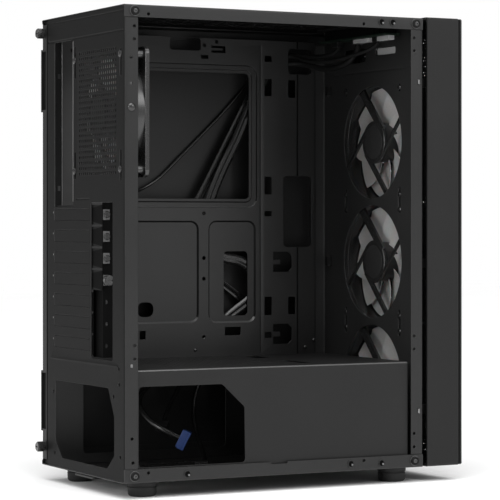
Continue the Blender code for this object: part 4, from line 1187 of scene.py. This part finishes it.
FRONT_SHEET = rect(3.2, 18.2, 191.8, 448)
TOP_FILTER = rounded(rect(30, 30, 165, 284), 4, 4)
PSU_FILTER = rounded(rect(46, 8, 148, 168), 2)


def make_front():
    perforated(
        "grille_sheet", STEEL, "d", rounded(FRONT_SHEET, 1.5), 358.6, 359.6,
        field=(9.5, 24.5, 185.8, 442), pitch=5.4, size=3.9, sides=6,
        body="bezel", slot="steel", node="front_grille",
    )
    inner = rounded(rect(4.6, 19.6, 190.4, 446.6), 2, 4)
    rim = flat_mesh("d", rounded(rect(0.4, 15.4, 194.6, 450.8), 2, 4), 359.8, 362.1, [inner])
    piece("grille_rim", rim, PLASTIC, "plastic", body="bezel", edge=0.7, segments=3)
    perforated(
        "front_filter_sheet", MESH, "d", rounded(rect(3, 18, 192, 448.2), 2), 355.8, 356.3,
        field=(10, 25, 185, 441), pitch=3.4, size=1.9, sides=4,
        body="bezel", slot="filter_mesh", node="front_filter",
    )
    bars = boxes(*((8, 354.4, z - 1.2, 187, 355.7, z + 1.2) for z in (128, 233, 338)))
    slab(bars, "d", FRONT_SHEET, 354.2, 357.6, [rect(8, 23, 187, 443.2)])
    piece("front_filter_frame", bars, PLASTIC, "plastic", body="bezel", edge=0.3)


def make_filters():
    perforated(
        "top_filter_sheet", MESH, "z", TOP_FILTER, 450.5, 450.9,
        field=(36.5, 36.5, 158.6, 277.6), pitch=3.2, size=1.8, sides=4,
        body="top_filter", slot="filter_mesh", node="top_filter",
    )
    inner = rounded(rect(35, 35, 160, 279), 2)
    border = flat_mesh("z", TOP_FILTER, 450.325, 451.275, [inner])
    piece("top_filter_border", border, RUBBER, "filter_mesh", body="top_filter", edge=0.2)
    perforated(
        "psu_filter_sheet", MESH, "z", PSU_FILTER, 13.3, 13.7,
        field=(51.5, 13.5, 142.6, 162.5), pitch=3.4, size=1.9, sides=4,
        body="psu_filter", slot="filter_mesh", node="psu_filter",
    )
    tray = flat_mesh("z", PSU_FILTER, 12.85, 14.15, [rounded(rect(50, 12, 144, 164), 1.5)])
    slab(tray, "z", rounded(rect(75, 2, 119, 14), 2), 11.7, 13.7)
    for w in (81.3, 112.7):
        box(tray, w - 0.8, 12, 12.9, w + 0.8, 164, 13.3)
    for d in (50, 88, 126):
        box(tray, 50, d - 0.8, 12.9, 144, d + 0.8, 13.3)
    piece("psu_filter_frame", tray, PLASTIC, "plastic", body="psu_filter", edge=0.25)


make_front()
make_filters()

# ---- screws, bosses and feet

KNURL_TEETH = 22
KNURL_R = 5
KNURL_DEPTH = 0.4
DOME_PROFILE = ((0.1, 1), (0.25, 0.98), (0.62, 0.8), (0.88, 0.5), (1, 0.18))
GLASS_BOSSES = ((10.2, 444.2), (309.3, 444.2), (10.2, 21.4), (307.8, 21.4))
BOSS_RING = ((-0.3, 4.2), (-1.9, 4.2), (-2.5, 3.6), (-2.5, 2.6), (-1.9, 2.2), (-0.9, 2.2))
BOSS_INSERT = ((-0.8, 1.9), (-2.1, 1.9), (-2.2, 1.6), (-2.2, 1.2), (-1, 1.1))
RAIL_HOOKS = ((270.7, 444.4), (283.2, 444.4), (63.3, 20.9), (236.6, 21.9), (270.7, 21))
POST_TABS = ((312.6, 388, 4.4), (312.6, 69.3, 4.4), (7, 121.7, 3))
POST_RIVET = (7, 356.6)
TRAY_RIVETS = ((292, 131), (282, 124), (156, 124), (64, 124))
FOOT_RINGS = (
    (5.5, 3.4), (0.6, 3.6), (0, 4.2), (0, 11), (0.9, 12.5), (2.2, 13.2), (8.6, 13.5), (9, 13),
    (9.7, 13), (10.1, 13.8), (10.8, 14), (14.6, 14),
)


def thumbscrew(node, body, plane, centre, face, head, shank):
    """A knurled head with a slotted cap, its collar and its shank."""
    u, v = centre
    rim = []
    for i in range(2 * KNURL_TEETH):
        angle = pi * i / KNURL_TEETH
        radius = KNURL_R - KNURL_DEPTH * (i % 2)
        rim.append((u + radius * cos(angle), v + radius * sin(angle)))
    mesh = bmesh.new()
    slab(mesh, plane, rim, face - head + 0.9, face - 1.3)
    slab(mesh, plane, circle(u, v, 4.2, 28), face - head, face - head + 1, [pill(u, v, 5.6, 1.1)])
    slab(mesh, plane, circle(u, v, 4.3, 28), face - 1.4, face)
    slab(mesh, plane, circle(u, v, 1.6, 14), face - 0.2, face + shank)
    piece(f"{node}_knurled", mesh, THUMB, "screw", node, body=body, edge=0.15, segments=2)


def dome(mesh, plane, centre, radius, height):
    """A low rounded head standing off a face, towards the open side or the rear."""
    lathe(mesh, plane, [(-height * rise, radius * share) for rise, share in DOME_PROFILE], centre, 18)


def make_thumbscrews():
    for i, z in enumerate(SIDE_SCREW_Z, 1):
        thumbscrew(
            f"side_thumbscrew_{i}", f"side_screw_{i}", "d", (SIDE_SCREW_W, z),
            face=-GAP, head=7.7, shank=6.5,
        )
    last_tab = (SLOT_SCREW_D, slot_z(REUSABLE_SLOTS - 1))
    thumbscrew("slot_thumbscrew", "slot_screw", "w", last_tab, face=52.6, head=6.6, shank=7)


def make_glass_bosses():
    for i, (d, z) in enumerate(GLASS_BOSSES):
        ring = turned("w", BOSS_RING, (0, d, z), 28)
        piece(f"glass_boss_ring_{i + 1}", ring, MATTE_AND_PAINTED_SHADE, "rubber", f"glass_boss_{i + 1}", edge=0.15)
        insert = turned("w", BOSS_INSERT, (0, d, z), 20)
        slab(insert, "w", circle(d, z, 4.9, 36), -0.5, 0.02, [circle(d, z, 4.25, 36)])
        # Painted highlight: a bright insert and rim in each boss.
        piece(f"glass_boss_insert_{i + 1}", insert, PAINTED_SHEEN, "screw")


def make_post_details():
    """The hooks punched in the left rails, each with a near-black disc for painted shade and a bright nib
    for painted highlight, and the tabs on the posts, bright for painted highlight.
    """
    shade_discs, hooks, highlight_nibs = bmesh.new(), bmesh.new(), bmesh.new()
    for d, z in RAIL_HOOKS:
        slab(shade_discs, "w", circle(d, z, 2.8, 24), -0.1, 0.02)
        slab(hooks, "w", circle(d, z, 3.5, 28), -0.7, 0.05, [circle(d, z, 2.7, 24)])
        slab(highlight_nibs, "w", circle(d + 1.3, z - 0.9, 1, 14), -1, 0.3)
    # Painted shade in the hooks, painted highlight on the nibs.
    piece("rail_hook_shade_discs", shade_discs, PAINTED_DEEP_SHADE, "steel")
    piece("rail_hooks", hooks, STEEL, "steel", edge=0.12, segments=2)
    piece("rail_hook_highlight_nibs", highlight_nibs, PAINTED_HIGHLIGHT, "steel", edge=0.12, segments=2)
    # Painted highlight: bright tabs on the posts.
    tabs = boxes(
        *((-0.45, d - 1.1, z - tall / 2, 0.2, d + 1.1, z + tall / 2) for d, z, tall in POST_TABS)
    )
    piece("post_tabs", tabs, PAINTED_HIGHLIGHT, "steel", edge=0.2, segments=2)


def make_rivets_and_screws():
    domes = bmesh.new()
    dome(domes, "w", (0, *POST_RIVET), 4, 2)
    for d, z in TRAY_RIVETS:
        dome(domes, "w", (TRAY_W - 0.5, d, z), 1.9, 1)
    piece("rivets", domes, SCREW, "screw")
    heads = bmesh.new()
    for side in (-FAN_REACH, FAN_REACH):
        for reach in (-FAN_REACH, FAN_REACH):
            dome(heads, "d", (REAR_FAN[0] + side, 0, REAR_FAN[1] + reach), 3.3, 1.2)
            for z in FRONT_FAN_Z:
                dome(heads, "d", (FRONT_FAN_W + side, 316.4, z + reach), 2.7, 1.2)
    piece("fan_screws", heads, SCREW, "screw")


def make_feet():
    for side, w in (("left", 27), ("right", 168)):
        for end, d in (("rear", 30), ("front", 298)):
            node = f"foot_{end}_{side}"
            foot = turned("z", FOOT_RINGS, (w, d, 0), 40)
            piece(f"{node}_rubber", foot, RUBBER, "rubber", node)
            screw = flat_mesh("z", circle(w, d, 2.8, 20), 4.2, 5.7, [pill(w, d, 3.6, 0.8, 2)])
            piece(f"{node}_screw", screw, SCREW, "screw")


make_thumbscrews()
make_glass_bosses()
make_post_details()
make_rivets_and_screws()
make_feet()

# ---- ports and buttons

USB_W = (66, 88, 113)
AUDIO_W = (134, 146)
PORT_LOW_Z = 437.6
PORT_TOP_Z = 450.7
HOUSING_LOW_Z = 437.3
POWER_W = 44
RESET_W = 156.5
CONTACT_OFFSETS = (-3.5, -1, 1, 3.5)
JACK_RINGS = (
    (PORT_LOW_Z, 3.2), (450.5, 3.2), (PORT_TOP_Z, 3), (PORT_TOP_Z, 2.1), (450.3, 1.85), (441, 1.85),
)
POWER_RINGS = (
    (440.3, 3.6), (445.8, 3.6), (445.8, 7.2), (450.9, 7.2), (451.3, 6.8), (451.3, 5.5), (450.9, 5.2),
    (450.9, 4.8), (451.2, 4.5), (451.1, 0.6),
)
RESET_RINGS = ((440.3, 1.45), (445.8, 1.45), (445.8, 2.9), (450.9, 2.9), (451.3, 2.5), (451.1, 0.5))
BOARD_SHIELDS = ((72, 298, 431.4, 101, 305, 435.3), (33, 298, 431, 55, 305, 435.3))
BOARD_HEADERS = ((100, 302, 12), (140, 302, 11), (60, 301.6, 9))


def make_ports():
    for i, w in enumerate(USB_W):
        shell = bmesh.new()
        mouth = centred(w, IO_D, 12.5, 5.1)
        shape = rounded(centred(w, IO_D, 13.6, 6.2), 0.6)
        slab(shell, "z", shape, PORT_LOW_Z, PORT_TOP_Z, [mouth])
        slab(shell, "z", centred(w, IO_D, 12.6, 5.2), PORT_LOW_Z, 438.4)
        piece(f"usb_shell_{i + 1}", shell, PORT, "port_metal", f"usb_port_{i + 1}", edge=0.1)
        tongue = flat_mesh("z", centred(w, IO_D + 1, 11.2, 1.8), 438.2, 449.2)
        piece(f"usb_tongue_{i + 1}", tongue, TONGUE, "blue_plug", edge=0.15)
        contacts = boxes(*(
            (w + offset - 0.5, IO_D - 0.02, 441, w + offset + 0.5, IO_D + 0.2, 448.6)
            for offset in CONTACT_OFFSETS
        ))
        piece(f"usb_contacts_{i + 1}", contacts, CONTACT, "port_metal")
    for i, w in enumerate(AUDIO_W):
        jack = turned("z", JACK_RINGS, (w, IO_D, 0), 28)
        piece(f"audio_socket_{i + 1}", jack, PORT, "port_metal", f"audio_jack_{i + 1}")


def make_buttons():
    for node, rings, w, sides in (
        ("power_button", POWER_RINGS, POWER_W, 48), ("reset_button", RESET_RINGS, RESET_W, 32),
    ):
        button = turned("z", rings, (w, IO_D, 0), sides)
        piece(f"{node}_cap", button, PLASTIC, "plastic", node, body=node)


def make_port_board():
    """What hangs under the roof at the front, and the pad in the front sheet's opening."""
    housing = bmesh.new()
    well = rect(57.2, 295.2, 150.8, 308.8)
    slab(housing, "z", rect(56, 294, 152, 310), HOUSING_LOW_Z, 446.8, [well])
    bore = circle(POWER_W, IO_D, 7.6, 28)
    slab(housing, "z", rect(36, 294.5, 52, 309.5), HOUSING_LOW_Z, 444.5, [bore])
    # The housing takes the near-black painted shade.
    piece("port_housing", housing, PAINTED_DEEP_SHADE, "plastic", edge=0.3)
    piece("board_shields", boxes(*BOARD_SHIELDS), TIN, "port_metal", edge=0.3, segments=2)
    headers = bmesh.new()
    for w, d, wide in BOARD_HEADERS:
        slab(headers, "z", rounded(centred(w, d, wide, 7.4), 0.8), 430.6, 435.5)
    piece("board_headers", headers, HUB, "plastic", edge=0.2)
    pad = flat_mesh("d", rounded(rect(51, 419.4, 87, 426.2), 1), 318, 319)
    piece("pass_through_pad", pad, FOAM, "plastic", edge=0.2)


make_ports()
make_buttons()
make_port_board()

# ---- pieces kept from the CAD

# The right side panel, the slot shelf and the drive cage take darker materials, painted shade.
KEPT = (
    ("right_side_panel", PAINTED_SHADE_STEEL, 0.3), ("slot_shelf", PAINTED_DEEP_SHADE, 0.2), ("drive_cage", PAINTED_SHADE_REAR, 0.2),
    ("front_bezel", PLASTIC, 0.7), ("io_strip", PLASTIC, 0.3), ("filter_rail_left", PLASTIC, 0.3),
    ("filter_rail_right", PLASTIC, 0.3), ("io_board", BOARD, 0.1),
)
for name, material, edge in KEPT:
    thing = bpy.data.objects[name]
    for slot in thing.material_slots:
        slot.material = material
    soften(thing, edge, 2)
